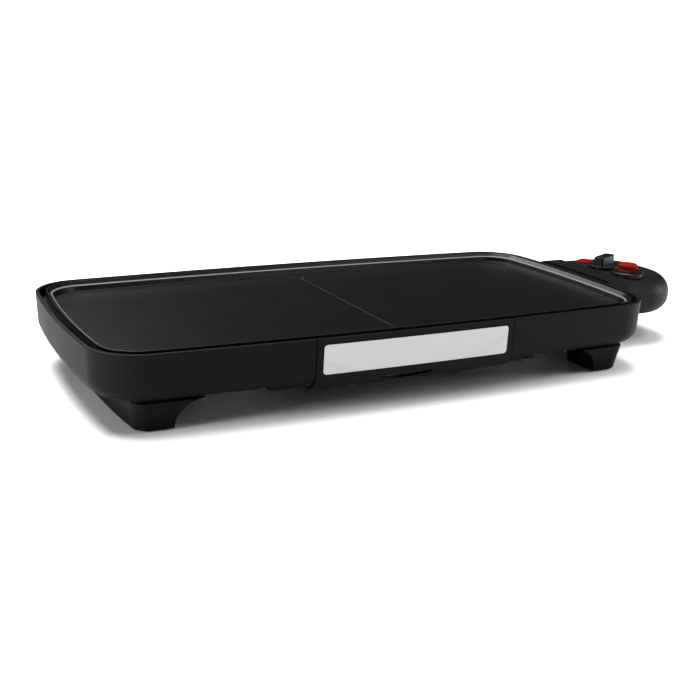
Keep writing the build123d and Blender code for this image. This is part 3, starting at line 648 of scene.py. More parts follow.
def scatter(name: str, piece: Solid, places: Iterable[Triple], tilt: Triple, seed: int) -> Solid:
    """Puts a copy of a piece at each place.

    Args:
        name: name of the new object.
        piece: the piece, drawn upright at the origin, which is used up.
        places: where the copies go.
        tilt: how they are turned, as Euler angles.
        seed: seed of their random turn.

    Returns:
        All copies as one object.
    """
    mesh = bpy.data.meshes.new(name)
    mesh.from_pydata([tuple(p) for p in places], [], [])
    made = SCATTER.apply(link(name, mesh), {"Piece": piece, "Tilt": tilt, "Seed": seed})
    discard(piece)
    return made


# ---- Finishes ----------------------------------------------------------------------------------------------
class Shader(NodeTree):
    """A material's node tree, with the patterns that the finishes are made of."""

    def __init__(self, name: str) -> None:
        """Starts an empty material.

        Args:
            name: name of the material.
        """
        self.material = bpy.data.materials.new(name)
        self.material.use_nodes = True
        super().__init__(self.material.node_tree, "ShaderNode")
        self.tree.nodes.clear()
        self.place = self.add("TexCoord", {}, {}).outputs["Object"]

    def noise(self, size: float, detail: float = 3.0, stretch: Sequence[float] = (1, 1, 1)) -> Number:
        """Cloudy noise.

        Args:
            size: width of its features, in millimetres.
            detail: how many finer layers it has.
            stretch: how much longer its features are along each axis.

        Returns:
            The noise, about 0.5.
        """
        scale = tuple(1 / s for s in stretch)
        place = self.add("Mapping", {}, {"Vector": self.place, "Scale": scale}).outputs[0]
        inputs = {"Vector": place, "Scale": 1 / (size * MM), "Detail": detail}
        return Number(self, self.add("TexNoise", {}, inputs).outputs[0])

    def flecks(self, size: float, share: float) -> Number:
        """Small specks, 1 inside and 0 outside.

        Args:
            size: distance between them, in millimetres.
            share: radius of a speck as a share of that distance.

        Returns:
            The mask.
        """
        cells = self.add("TexVoronoi", {}, {"Vector": self.place, "Scale": 1 / (size * MM)})
        return self.ramp(Number(self, cells.outputs["Distance"]), [(share * 0.6, 1), (share, 0)])

    def climb(self, low: float, high: float) -> Number:
        """Number that goes from 0 to 1 between two heights, given in millimetres.

        Args:
            low: height at which it is 0.
            high: height at which it is 1.

        Returns:
            The number.
        """
        height = self.add("SeparateXYZ", {}, {0: self.place}).outputs["Z"]
        limits = {"Value": height, "From Min": low * MM, "From Max": high * MM}
        return Number(self, self.add("MapRange", {"interpolation_type": "SMOOTHSTEP"}, limits).outputs[0])

    def ramp(self, value: Number, stops: Sequence[Point]) -> Number:
        """Passes a number through a ramp."""
        node = self.add("ValToRGB", {"stops": stops}, {"Fac": value})
        return Number(self, node.outputs[0])

    def blend(
        self, share: Number, first: Colour | bpy.types.NodeSocket, second: Colour
    ) -> bpy.types.NodeSocket:
        """Mixes two colours, of which the first may come from a socket."""
        base = first if isinstance(first, bpy.types.NodeSocket) else (*first, 1)
        return self.add("Mix", {"data_type": "RGBA"}, {0: share, 6: base, 7: (*second, 1)}).outputs[2]

    def surface(self, inputs: dict[str, object], height: Number | None, depth: float) -> bpy.types.Material:
        """Closes the material.

        Args:
            inputs: the surface's inputs.
            height: relief, from 0 to 1, or None.
            depth: how deep the relief is, in millimetres.

        Returns:
            The finished material.
        """
        if height is not None:
            bump = {"Height": height, "Distance": depth * MM, "Strength": 1.0}
            inputs = {**inputs, "Normal": self.add("Bump", {}, bump).outputs[0]}
        body = self.add("BsdfPrincipled", {}, inputs)
        self.add("OutputMaterial", {}, {"Surface": body.outputs[0]})
        return self.material


@dataclass(frozen=True)
class Plastic:
    """Moulded plastic with a fine spark-eroded grain and a faint bloom in its gloss."""

    name: str
    dark: Colour
    light: Colour
    gloss: float = 0.42            # roughness
    bloom: float = 0.10            # how far the roughness wanders
    shine: float = 0.3             # specular level
    grain: float = 0.35            # size of the grain
    depth: float = 0.012
    coat: float = 0.0
    glow: float = 0.0              # how strongly it shines by itself
    painted_shade_rise: Point | None = None      # painted shade: heights between which its colour goes from dark low down to light higher up

    def material(self) -> bpy.types.Material:
        """Builds the finish.

        Returns:
            The finished material.
        """
        s = Shader(self.name)
        cloud = s.noise(38.0, 2.0)
        grain = s.noise(self.grain, 2.0)
        inputs = {
            # painted shade: when a height range is given, the colour darkens towards the bottom as if less
            # lit, in place of the random cloud
            "Base Color": s.blend(cloud if self.painted_shade_rise is None else s.climb(*self.painted_shade_rise), self.dark, self.light),
            "Roughness": cloud * self.bloom + grain * 0.04 + (self.gloss - self.bloom / 2 - 0.02),
            "Specular IOR Level": self.shine,
            "Coat Weight": self.coat,
            "Coat Roughness": 0.08,
            "Emission Color": (*self.light, 1),
            "Emission Strength": self.glow,
        }
        return s.surface(inputs, grain, self.depth)


@dataclass(frozen=True)
class Coating:
    """Non-stick coating with fine pale flecks over a slightly rolled surface."""

    name: str = "plate_coating"
    dark: Colour = (0.0016, 0.0016, 0.0017)
    light: Colour = (0.0032, 0.0032, 0.0034)
    fleck: Colour = (0.24, 0.24, 0.245)
    gloss: float = 0.29
    line: Colour = (0.045, 0.045, 0.046)
    line_z: Point = (60.1, 60.7)             # heights of the zone line's bare bottom
    # painted highlight: a lighter band painted along the bead where its edge catches the light
    bead: Colour = (0.12, 0.12, 0.122)
    bead_highlight_z: Point = (65.5, 66.4)             # heights of the painted highlight along the bead round the wall
    wall_z: float = 61.3                     # the flecks show from here upwards

    def material(self) -> bpy.types.Material:
        """Builds the finish.

        Returns:
            The finished material.
        """
        s = Shader(self.name)
        cloud = s.noise(24.0, 3.0)
        small = s.flecks(0.9, 0.17) * s.ramp(s.noise(2.2, 1.0), [(0.36, 0.2), (0.6, 1)])
        large = s.flecks(2.1, 0.13) * s.ramp(s.noise(5.0, 1.0), [(0.4, 0.2), (0.62, 1)])
        flecks = (small + large * 0.7) * (s.climb(self.wall_z, self.wall_z + 1) * 0.94 + 0.06)
        base = s.blend(cloud, self.dark, self.light)
        # the zone line's lighter bottom, and a painted highlight along the bead
        for tone, (low, high) in ((self.line, self.line_z), (self.bead, self.bead_highlight_z)):
            band = s.climb(low - 0.1, low + 0.1) * (1 - s.climb(high - 0.1, high + 0.1))
            base = s.blend(band, base, tone)
        skin = s.noise(0.5, 2.0) * 0.6 + s.noise(3.0, 1.0) * 0.4
        inputs = {
            "Base Color": s.blend(flecks * 0.55, base, self.fleck),
            "Roughness": cloud * 0.05 + flecks * 0.06 + (self.gloss - 0.02),
            "Specular IOR Level": 0.13,
        }
        return s.surface(inputs, skin, 0.02)


@dataclass(frozen=True)
class Metal:
    """Sheet or turned metal with marks of its working along one direction."""

    name: str
    dark: Colour
    light: Colour
    gloss: float = 0.34
    stretch: Triple = (40, 1, 1)
    line: float = 0.25             # width of the working marks, in millimetres
    depth: float = 0.004
    lengthwise: float = 0.0        # anisotropy

    def material(self) -> bpy.types.Material:
        """Builds the finish.

        Returns:
            The finished material.
        """
        s = Shader(self.name)
        brush = s.noise(self.line, 3.0, self.stretch)
        cloud = s.noise(30.0, 2.0)
        tone = brush * 0.6 + cloud * 0.4
        inputs = {
            "Base Color": s.blend(tone, self.dark, self.light),
            "Metallic": 1.0,
            "Roughness": brush * 0.16 + cloud * 0.06 + (self.gloss - 0.11),
            "Anisotropic": self.lengthwise,
        }
        return s.surface(inputs, brush, self.depth)


@dataclass(frozen=True)
class Stone:
    """Fired ceramic or rubber: matt, with a fine even tooth."""

    name: str
    dark: Colour
    light: Colour
    gloss: float = 0.7
    grain: float = 0.3
    depth: float = 0.02

    def material(self) -> bpy.types.Material:
        """Builds the finish.

        Returns:
            The finished material.
        """
        s = Shader(self.name)
        cloud = s.noise(6.0, 3.0)
        grain = s.noise(self.grain, 3.0)
        inputs = {
            "Base Color": s.blend(cloud, self.dark, self.light),
            "Roughness": grain * 0.2 + (self.gloss - 0.1),
            "Specular IOR Level": 0.3,
        }
        return s.surface(inputs, grain, self.depth)


def near_black(level: float) -> Colour:
    """Dark grey with a trace of blue."""
    return level, level, level + 0.0002


class Finish(Enum):
    """Every finish on the griddle, named after the record's material slots."""

    CASING = Plastic("casing_plastic", near_black(0.0030), near_black(0.0048), gloss=0.52, shine=0.05)
    TRAY = Plastic("tray_plastic", (0.009, 0.009, 0.010), (0.013, 0.013, 0.014), gloss=0.46)
    CONTROL = Plastic("control_plastic", near_black(0.0034), near_black(0.0054), gloss=0.50, shine=0.08)
    DIAL = Plastic("dial_plastic", near_black(0.0030), near_black(0.0046), gloss=0.36, shine=0.12, grain=0.25)
    SWITCH = Plastic("switch_plastic", (0.05, 0.05, 0.055), (0.07, 0.07, 0.075), gloss=0.5)
    BUTTON = Plastic(
        "button_red",
        (0.020, 0.0006, 0.0003),
        (0.15, 0.007, 0.002),
        gloss=0.4,
        shine=0.02,
        depth=0.003,
        # painted shade: the button's lower skirt is painted darker than its dome
        painted_shade_rise=(75.5, 83.0),
    )
    LENS = Plastic(
        "pilot_red",
        (0.12, 0.0006, 0.0006),
        (0.16, 0.001, 0.001),
        gloss=0.35,
        shine=0.02,
        depth=0.002,
        glow=0.3,
    )
    PLATE = Coating()
    TRIM = Metal("trim_metal", (0.29, 0.29, 0.29), (0.35, 0.35, 0.35), gloss=0.40, lengthwise=0.35)
    BASE = Metal("base_steel", (0.42, 0.43, 0.44), (0.56, 0.57, 0.58), 0.45, stretch=(8, 1, 1), line=1.2)
    REFLECTOR = Metal("reflector_steel", (0.60, 0.60, 0.60), (0.72, 0.72, 0.71), gloss=0.28)
    SCREW = Metal("screw_steel", (0.46, 0.46, 0.47), (0.62, 0.62, 0.62), gloss=0.36, stretch=(1, 1, 6))
    ELEMENT = Metal("element_steel", (0.10, 0.09, 0.08), (0.22, 0.20, 0.17), gloss=0.48, stretch=(2, 1, 1))
    BRASS = Metal("contact_brass", (0.62, 0.44, 0.17), (0.74, 0.56, 0.26), gloss=0.30, stretch=(1, 6, 6))
    CERAMIC = Stone("ceramic", (0.62, 0.58, 0.50), (0.74, 0.70, 0.62))
    RUBBER = Stone("rubber_black", (0.010, 0.010, 0.010), (0.016, 0.016, 0.016), gloss=0.78, grain=0.6)


class Paints:
    """Builds each finish once and hands it out."""

    def __init__(self) -> None:
        """Builds all the finishes."""
        self.made = {finish: finish.value.material() for finish in Finish}

    def of(self, finish: Finish) -> bpy.types.Material:
        """The material of a finish."""
        return self.made[finish]

    def for_slot(self, slot: str) -> bpy.types.Material:
        """The material that a record slot takes."""
        return next(self.made[f] for f in Finish if f.value.name == slot)


# ---- Pieces ------------------------------------------------------------------------------------------------
@dataclass(frozen=True)
class Piece:
    """One visible piece: what it stands for, what it rides on and its finish."""

    name: str
    body: str
    slot: str
    finish: Finish
    stands_for: tuple[str, ...]

    def build(self, paints: Paints, *parts: Solid) -> Solid:
        """Joins the parts into one finished mesh in the frame.

        Args:
            paints: the finishes.
            parts: solids in millimetres, which are used up.

        Returns:
            The finished piece.
        """
        bm = bmesh.new()
        for part in parts:
            bm.from_mesh(part.data)
        mesh = bpy.data.meshes.new(self.name)
        bm.to_mesh(mesh)
        bm.free()
        discard(*parts)
        mesh.transform(TO_FRAME)
        mesh.materials.clear()
        mesh.materials.append(paints.of(self.finish))
        for face in mesh.polygons:
            face.use_smooth = True
            face.material_index = 0
        mesh.set_sharp_from_angle(angle=SHARP_EDGE)
        made = link(self.name, mesh)
        even = made.modifiers.new("even shading", "WEIGHTED_NORMAL")
        even.keep_sharp = True
        made = bake(made)
        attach(made, self.body)
        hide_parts(*self.stands_for)
        log.info("%s rides on %s, %d faces", self.name, self.body, len(made.data.polygons))
        return made


Pieces = Iterator[tuple[Piece, Sequence[Solid]]]


class Assembly(ABC):
    """A sub-assembly, which makes its pieces one after another."""

    @abstractmethod
    def pieces(self) -> Pieces:
        """Each piece with the solids that it is made of."""

    def build(self, paints: Paints) -> None:
        """Makes, joins and dresses every piece."""
        for piece, parts in self.pieces():
            piece.build(paints, *parts)


@dataclass
class Casing(Assembly):
    """One-piece moulded surround: lip, drafted wall, plate shelf and bottom flange."""

    rim_z: float = 69.0
    low_z: float = 27.2
    foot_inset: float = 1.9
    round_r: float = 15.0
    wall: float = 2.6
    lip: float = 3.6
    shelf_z: float = 60.0
    shelf_t: float = 2.4
    shelf_inset: float = 12.0
    flange_inset: float = 24.0
    window_x: float = DRAWER_X
    window_half: float = 98.3
    upstand: Triple = (4.4, 6.4, 66.0)    # outer inset, inner inset, top
    plug_y: Point = (-18.5, 25.5)         # the plug window's ends
    plug_z: Point = (47.7, 57.4)

    def wall_inset(self, z: float) -> float:
        """How far the drafted wall has come in at height z."""
        return self.foot_inset * (self.rim_z - z) / (self.rim_z - self.low_z)

    def section(self) -> list[Point]:
        """Section of the wall, from the lip round the inside to the underside.

        Returns:
            The closed section.
        """
        pan_z = self.low_z + self.wall
        inner_low = self.wall_inset(pan_z) + self.wall
        return rounded(
            [
                (0, self.rim_z, 1.0),
                (self.lip, self.rim_z, 0.8),
                (self.lip, self.shelf_z, 0.3),
                (self.shelf_inset, self.shelf_z, 0.4),
                (self.shelf_inset, self.shelf_z - self.shelf_t, 0.4),
                (self.lip, self.shelf_z - self.shelf_t, 0.3),
                (inner_low, pan_z, self.round_r - self.wall),
                (self.flange_inset, pan_z, 0.4),
                (self.flange_inset, self.low_z, 0.4),
                (self.foot_inset, self.low_z, self.round_r),
            ]
        )

    def window_section(self) -> list[Point]:
        """Section behind the drawer's front: the shelf and the upstand on it.

        Returns:
            The closed section.
        """
        outer, inner, top = self.upstand
        low = self.shelf_z - self.shelf_t
        return rounded(
            [
                (outer, low, 0),
                (self.shelf_inset, low, 0.4),
                (self.shelf_inset, self.shelf_z, 0.4),
                (inner, self.shelf_z, 0.3),
                (inner, top, 0.3),
                (outer, top, 0.3),
            ]
        )

    def pieces(self) -> Pieces:
        """The casing.

        Returns:
            The piece with its shell and the bridge behind the drawer.
        """
        left, right = self.window_x - self.window_half, self.window_x + self.window_half
        shell = sweep("casing_shell", RIM.open_loop(left, right), self.section(), closed=False)
        (y0, y1), (z0, z1) = self.plug_y, self.plug_z
        opening = oblong(y1 - y0, z1 - z0, 1.0, (y0 + y1) / 2, (z0 + z1) / 2)
        end_x = RIM.right_x(0)
        shell = cut(shell, lengthwise("plug_window", opening, end_x - 12, end_x + 5))
        bridge = sweep("casing_bridge", RIM.front(left, right), self.window_section(), closed=False)
        piece = Piece("griddle_casing", "root", "casing_plastic", Finish.CASING, ("casing",))
        yield piece, [shell, bridge]


@dataclass
class GriddlePlate(Assembly):
    """Cast plate: thin rim, sloping wall with a bead, flat floor with a zone line and a drain slot."""

    top_z: float = 69.6
    rim_inset: float = 9.4
    rim_width: float = 1.2
    floor_z: float = 60.8
    under_z: float = 56.0
    shelf_z: float = 60.0
    foot_inset: float = 18.8
    zone: Triple = (-2.0, 252.0, 113.0)   # left, right, half width
    zone_r: float = 16.0
    groove: float = 1.1
    groove_depth: float = 0.3
    bead: tuple[Corner, Corner] = ((14.0, 66.2, 0.5), (15.4, 65.6, 0.6))
    drain_y: float = -112.5
    drain: Point = (26.0, 5.0)            # length and width
    spout_z: float = 49.5

    def section(self) -> list[Point]:
        """Section of the rim and wall, closed at the edge of the floor.

        Returns:
            The closed section.
        """
        edge = self.foot_inset + 1
        return rounded(
            [
                (self.rim_inset, self.top_z, 0.5),
                (self.rim_inset + self.rim_width, self.top_z, 0.4),
                *self.bead,
                (self.foot_inset - 0.9, self.floor_z, 0.8),
                (edge, self.floor_z, 0),
                (edge, self.under_z, 0),
                (13.2, self.under_z, 1.5),
                (12.6, self.shelf_z, 0.2),
                (self.rim_inset + 0.6, self.shelf_z, 0.2),
            ]
        )

    def fill_floor(self, rim: Solid) -> Solid:
        """Opens the wall's inner edge and fills the floor and the underside.

        Args:
            rim: the swept rim and wall, which is used up.

        Returns:
            The closed plate.
        """
        bm = bmesh.new()
        bm.from_mesh(rim.data)
        discard(rim)
        edge_loop = RIM.loop(self.foot_inset + 1)
        inner = max(abs(x) for x, _ in edge_loop)
        touching = [
            f
            for f in bm.faces
            if abs(f.normal.z) < 0.05
            and all(abs(v.co.z - self.floor_z) < 0.01 or abs(v.co.z - self.under_z) < 0.01 for v in f.verts)
            and all(abs(v.co.x) <= inner + 0.01 for v in f.verts)
        ]
        bmesh.ops.delete(bm, geom=touching, context="FACES")
        open_edges = [e for e in bm.edges if e.is_boundary]
        bmesh.ops.contextual_create(bm, geom=[e for e in open_edges if e.verts[0].co.z > self.shelf_z])
        bmesh.ops.contextual_create(bm, geom=[e for e in open_edges if e.verts[0].co.z < self.shelf_z])
        return from_bmesh("plate_blank", bm)

    def pieces(self) -> Pieces:
        """The plate.

        Returns:
            The piece with the plate and its drain spout.
        """
        blank = self.fill_floor(sweep("plate_rim", RIM.loop(), self.section(), closed=True))
        left, right, half = self.zone
        middle = (left + right) / 2
        outer = oblong(right - left, 2 * half, self.zone_r, middle)
        g = self.groove
        inner = oblong(right - left - 2 * g, 2 * (half - g), self.zone_r - g, middle)
        line = ring_slot("zone_line", outer, inner, self.floor_z - self.groove_depth, self.floor_z + 1)
        y, (length, width) = self.drain_y, self.drain
        hole = oblong(length, width, width / 2 - 0.01, DRAWER_X, y)
        plate = cut(blank, line, upright("drain", hole, self.under_z - 2, self.floor_z + 2))
        wall = oblong(length + 4, width + 4, width / 2 + 1.99, DRAWER_X, y)
        spout = ring_slot("spout", wall, hole, self.spout_z, self.under_z + 0.5)
        piece = Piece("cooking_plate", "griddle", "plate_coating", Finish.PLATE, ("griddle_plate",))
        yield piece, [plate, spout]


@dataclass
class Drawer(Assembly):
    """Drip drawer's front panel and its satin trim plate, which follow the casing's bow and roundover."""

    casing: Casing
    middle_x: float = DRAWER_X
    half: float = 97.5
    low_z: float = 20.2
    round_r: float = 20.0
    panel_t: float = 3.3
    trim_half: float = 91.5
    trim_z: Point = (37.4, 63.4)
    trim_r: float = 3.0
    trim_depth: float = 0.4
    trim_proud: float = 0.28
    seat_gap: float = 0.5
    grip_x: Point = (-7.0, 26.5)          # middle and half length of the finger slot
    grip_z: Point = (24.6, 29.4)
    grip_end: float = 0.9                 # its height at its pointed ends
    reach: float = 21.0                   # how far the underside reaches in
    cutter_y: Point = (-160.0, -100.0)    # where the cutters start and end

    def face(self, offset: float, top_r: float) -> list[Corner]:
        """Outer face moved in by offset, as its bottom and top corners.

        Args:
            offset: how far it is moved in.
            top_r: radius of its top corner.

        Returns:
            Both corners.
        """
        rim_z = self.casing.rim_z
        low = (self.casing.foot_inset + offset, self.low_z + offset, self.round_r - offset)
        return [low, (offset, rim_z, top_r)]

    def band(self, name: str, low: float, high: float, extra: float) -> Solid:
        """Band along the panel's face within the trim's outline.

        Args:
            name: name of the solid.
            low: how deep it reaches below the face.
            high: how far it stands above the face.
            extra: how much larger its outline is than the trim's.

        Returns:
            The solid.
        """
        under, over = self.face(low, 0), self.face(-high, 0)
        back = [(self.reach + 3, self.low_z + z, 0) for z in (-high, low)]
        corners = [under[1], over[1], over[0], *back, under[0]]
        left, right = self.middle_x - self.trim_half - 3, self.middle_x + self.trim_half + 3
        strip = sweep(name, RIM.front(left, right, 24), rounded(corners, 6.0), closed=False)
        width, (z0, z1) = 2 * (self.trim_half + extra), self.trim_z
        outline = oblong(width, z1 - z0 + 2 * extra, self.trim_r + extra, self.middle_x, (z0 + z1) / 2)
        return cut(strip, facing("trim_outline", outline, *self.cutter_y), keep_common=True)

    def panel(self) -> Solid:
        """Front panel with its finger slot and the trim's seat.

        Returns:
            The solid.
        """
        outer, inner = self.face(0, 1.0), self.face(self.panel_t, 0.8)
        section = rounded(
            [
                outer[1],
                (self.panel_t, self.casing.rim_z, 0.8),
                inner[0],
                (self.reach + 1, self.low_z + self.panel_t, 0.8),
                (self.reach + 1, self.low_z, 0.8),
                outer[0],
            ]
        )
        left, right = self.middle_x - self.half, self.middle_x + self.half
        blank = sweep("drawer_panel", RIM.front(left, right), section, closed=False)
        seat = self.band("seat", 0.45, 1.5, self.seat_gap)
        return cut(blank, seat, facing("finger_slot", self.slot_outline(), *self.cutter_y))

    def slot_outline(self) -> list[Point]:
        """Outline of the finger slot, whose lower edge curves up to its ends.

        Returns:
            The outline in X and Z.
        """
        (x, half), (z0, z1) = self.grip_x, self.grip_z
        shares = [n / 12 for n in range(-12, 13)]
        lower = [(x + half * t, z0 + (z1 - z0 - self.grip_end) * abs(t) ** 2.4) for t in shares]
        return lower + [(x + half, z1), (x - half, z1)]

    def pieces(self) -> Pieces:
        """The panel and the trim.

        Returns:
            Both pieces, each with its solid.
        """
        panel = soften(self.panel(), 0.25, 2, 50)
        piece = Piece("drawer_panel_front", "drawer", "casing_plastic", Finish.CASING, ("drawer_front",))
        yield piece, [panel]
        trim = soften(self.band("trim", self.trim_depth, self.trim_proud, 0.0), 0.2, 2, 50)
        piece = Piece("drawer_trim", "drawer", "trim_metal", Finish.TRIM, ("drawer_trim_plate",))
        yield piece, [trim]


@dataclass
class Feet(Assembly):
    """A foot rail under each end, with arched corner blocks joined by a skirt, on rubber pads."""

    x: float = FOOT_X
    y: float = FOOT_Y
    low_z: float = 1.0
    top_z: float = 26.0
    neck_z: float = 27.2
    half: Point = (121.0, 126.5)      # half depth at the bottom and at the top
    inset: Point = (30.4, 27.2)       # how far inside the rim line, at the bottom and at the top
    corner_r: float = 13.0
    block_y: float = 81.0
    skirt: float = 5.0
    arch_r: float = 25.0
    arch_x: float = 187.0
    pad_plan: Triple = (18.0, 34.0, 8.0)      # length, width and corner radius
    pad_play: float = 0.1
    seat_plan: Triple = (28.0, 24.0, 6.0)
    seat_z: float = 29.8

    def plan(
        self, z: float, ease: float, half: float | None = None, inset: float | None = None
    ) -> list[Vector]:
        """Level outline of the left rail.

        Args:
            z: height of the outline, which sets its size.
            ease: how far it is drawn in.
            half: half depth, if it isn't the one at that height.
            inset: distance inside the rim line, if it isn't the one at that height.

        Returns:
            The outline.
        """
        share = (z - self.low_z) / (self.top_z - self.low_z)
        deep = (self.half[0] + (self.half[1] - self.half[0]) * share if half is None else half) - ease
        far = (self.inset[0] + (self.inset[1] - self.inset[0]) * share if inset is None else inset) + ease
        bow = [(-RIM.right_x(deep * n / 16, far), deep * n / 16, 0) for n in range(-12, 13)]
        end_x = -RIM.right_x(deep, far)
        front = [(-self.arch_x, -deep, 0), (end_x, -deep, self.corner_r)]
        back = [(end_x, deep, self.corner_r), (-self.arch_x, deep, 0)]
        return [Vector((x, y, z)) for x, y in rounded(front + bow + back, 9.0)]

    def rail(self, name: str) -> Solid:
        """Rail of the left end.

        Args:
            name: name of the solid.

        Returns:
            The solid.
        """
        rows = [(self.low_z, 1.0), (self.low_z + 0.3, 0.4), (self.low_z + 1, 0), (self.top_z - 1.0, 0)]
        rows += [(self.top_z - 0.25, 0.4), (self.top_z, 1.1)]
        neck = [self.plan(z, 0, self.half[1] - 4.5, self.inset[1] + 0.6) for z in (self.top_z, self.neck_z)]
        body = lofted(name, [self.plan(z, ease) for z, ease in rows] + neck)
        arch = facing("arch", circle(self.arch_r, -self.arch_x, self.low_z, 96), -150, 150)
        shares = [n / 20 for n in range(-20, 21)]
        far = self.inset[0] + self.skirt
        wall = [(-RIM.right_x(self.block_y * t, far), self.block_y * t) for t in shares]
        inside = upright("inside", [*wall, (-150, self.block_y), (-150, -self.block_y)], -5, 40)
        pads = [self.pad_outline(side, self.pad_play) for side in SIDES]
        recesses = [upright("pad_recess", outline, -1, self.low_z + 1.6) for outline in pads]
        return soften(cut(body, arch, inside, *recesses), 0.6, 3, 40)

    def pad_outline(self, side_y: int, larger: float) -> list[Point]:
        """Outline of a pad of the left end, larger by so much all round."""
        length, width, r = self.pad_plan
        return oblong(length + 2 * larger, width + 2 * larger, r + larger, -self.x, side_y * self.y)

    def seats(self) -> list[Solid]:
        """Blocks on the left rail that reach up to the base pan."""
        places = [oblong(*self.seat_plan, -self.x + 5, side * (self.y - 3)) for side in SIDES]
        return [upright("seat", outline, self.top_z - 1, self.seat_z) for outline in places]

    def pad(self, side_y: int) -> Solid:
        """Rubber pad of the left end, with a rounded lower edge.

        Args:
            side_y: -1 for the front pad, 1 for the rear one.

        Returns:
            The solid.
        """
        lines = [(-1.2, 0.0), (-0.35, 0.12), (0, 0.55), (0, 2.5)]
        flat = [(self.pad_outline(side_y, d), z) for d, z in lines]
        return lofted("pad", [[Vector((x, y, z)) for x, y in outline] for outline, z in flat])

    def at_end(self, made: Solid, side: int) -> Solid:
        """Leaves a left piece where it is, or mirrors it to the right-hand end.

        Args:
            made: the piece, drawn for the left-hand end.
            side: -1 for the left-hand end, 1 for the right.

        Returns:
            The same object.
        """
        if side > 0:
            made.data.transform(Matrix.Diagonal((-1, 1, 1, 1)))
            made.data.flip_normals()
        return made

    def pieces(self) -> Pieces:
        """The rails and their pads.

        Returns:
            All pieces, each with its solids.
        """
        for across, side in (("left", -1), ("right", 1)):
            parts = [self.at_end(part, side) for part in (self.rail("rail"), *self.seats())]
            node = f"foot_rail_{across}"
            piece = Piece(f"end_foot_{across}", "root", "casing_plastic", Finish.CASING, (node,))
            yield piece, parts
            for along, side_y in (("front", -1), ("rear", 1)):
                spot = f"{along}_{across}"
                node = f"foot_pad_{spot}"
                piece = Piece(f"rubber_pad_{spot}", "root", "rubber_black", Finish.RUBBER, (node,))
                yield piece, [self.at_end(self.pad(side_y), side)]


def four_corners(x: float, y: float, z: float) -> tuple[Triple, ...]:
    """The four places so far to either side of the middle, at one height."""
    return tuple((x * side_x, y * side_y, z) for side_x in SIDES for side_y in SIDES)


@dataclass(frozen=True)
class ScrewGroup:
    """Screws of one kind: where their heads rest and which way they are turned."""

    node: str
    body: str
    places: tuple[Triple, ...]
    length: float
    shank_r: float = 1.25
    head_r: float = 3.0
    head_h: float = 1.8
    tilt: Triple = (0, 0, 0)

    def screw(self) -> Solid:
        """One screw, head up, with a cross recess.

        Returns:
            The solid, upright at the origin.
        """
        profile = [
            (0, -self.length, 0),
            (self.shank_r, self.shank_r - self.length, 0.3),
            (self.shank_r, 0, 0),
            (self.head_r, 0, 0.1),
            (self.head_r, self.head_h * 0.5, 0.4),
            (self.head_r * 0.6, self.head_h, 0.8),
            (0, self.head_h, 0),
        ]
        body = turned("screw", rounded(profile), 0, 0, 24)
        arms = [oblong(3.6, 0.8, 0.15), oblong(0.8, 3.6, 0.15)]
        return cut(body, *[upright("recess", arm, self.head_h - 0.9, self.head_h + 1) for arm in arms])

    def scattered(self, seed: int) -> Solid:
        """All of the group's screws, each turned at random about its own axis."""
        return scatter(self.node + ".all", self.screw(), self.places, self.tilt, seed)


@dataclass
class Screws(Assembly):
    """Every screw that holds the griddle together, drawn once for each kind."""

    seed: int = 7
    pan_z: float = 31.3                                   # where heads rest on the base pan
    flange_inset: float = 20.4
    front_x: tuple[float, ...] = (-190, -150, 150, 190)   # along the front flange
    rear_x: tuple[float, ...] = (-190, -64, 64, 190)      # along the rear flange

    def groups(self) -> list[ScrewGroup]:
        """All groups, of which the last two share one node.

        Returns:
            The groups, in the order of their random turns.
        """
        front = RIM.arcs()[6]
        inset = self.flange_inset
        front_row = [front.point(front.share_at_x(x), inset) for x in self.front_x]
        rear_row = [front.point(front.share_at_x(x), inset) for x in self.rear_x]
        flange = front_row + [(x, -y) for x, y in rear_row]
        pan = tuple((x, y, self.pan_z) for x, y in flange)
        collar = tuple((RIM.right_x(y, 4.15), y, 52.6) for y in (-41.5, 48.5))
        drawer = ((-58, -118.2, 38), (62, -118.2, 38))
        box = ((311.5, -49.5, 34.0), (311.5, 56.5, 34.0), (370.0, CONTROL_Y, 34.0))
        runners = tuple((DRAWER_X + side * 111, y, 33.3) for side in SIDES for y in (-90, 12))
        tabs = tuple((DRAWER_X + side * 129, -121, 24.6) for side in SIDES)
        feet = four_corners(FOOT_X, FOOT_Y, self.pan_z)
        down, head_back, head_left = (pi, 0, 0), (-pi / 2, 0, 0), (0, -pi / 2, 0)
        # The sizes are the length, the shank's radius, and the head's radius and height.
        return [
            ScrewGroup("foot_screws", "root", feet, 18.3, 1.55, 3.6, 2.0),
            ScrewGroup("base_screws", "root", pan, 3.9, 1.5, 3.2, 2.0),
            ScrewGroup("reflector_screws", "root", four_corners(150, 88, 47.6), 9.6, 1.25, 2.6, 1.4),
            ScrewGroup("collar_screws", "root", collar, 14.0, tilt=head_left),
            ScrewGroup("drawer_screws", "drawer", drawer, 12.0, tilt=head_back),
            ScrewGroup("shell_screws", "control_unit", box, 20.0, tilt=down),
            ScrewGroup("runner_screws", "root", runners, 6.5, 1.5, 3.2, 2.0),
            ScrewGroup("runner_screws", "root", tabs, 4.6, 1.5, 2.6, 1.2, down),
        ]

    def pieces(self) -> Pieces:
        """One piece for each node of screws.

        Returns:
            The pieces, each with its groups of screws.
        """
        groups = self.groups()
        for node in dict.fromkeys(group.node for group in groups):
            mine = [group for group in groups if group.node == node]
            parts = [group.scattered(self.seed + n) for n, group in enumerate(mine)]
            piece = Piece(f"driven_{node}", mine[0].body, "screw_steel", Finish.SCREW, (node,))
            yield piece, parts


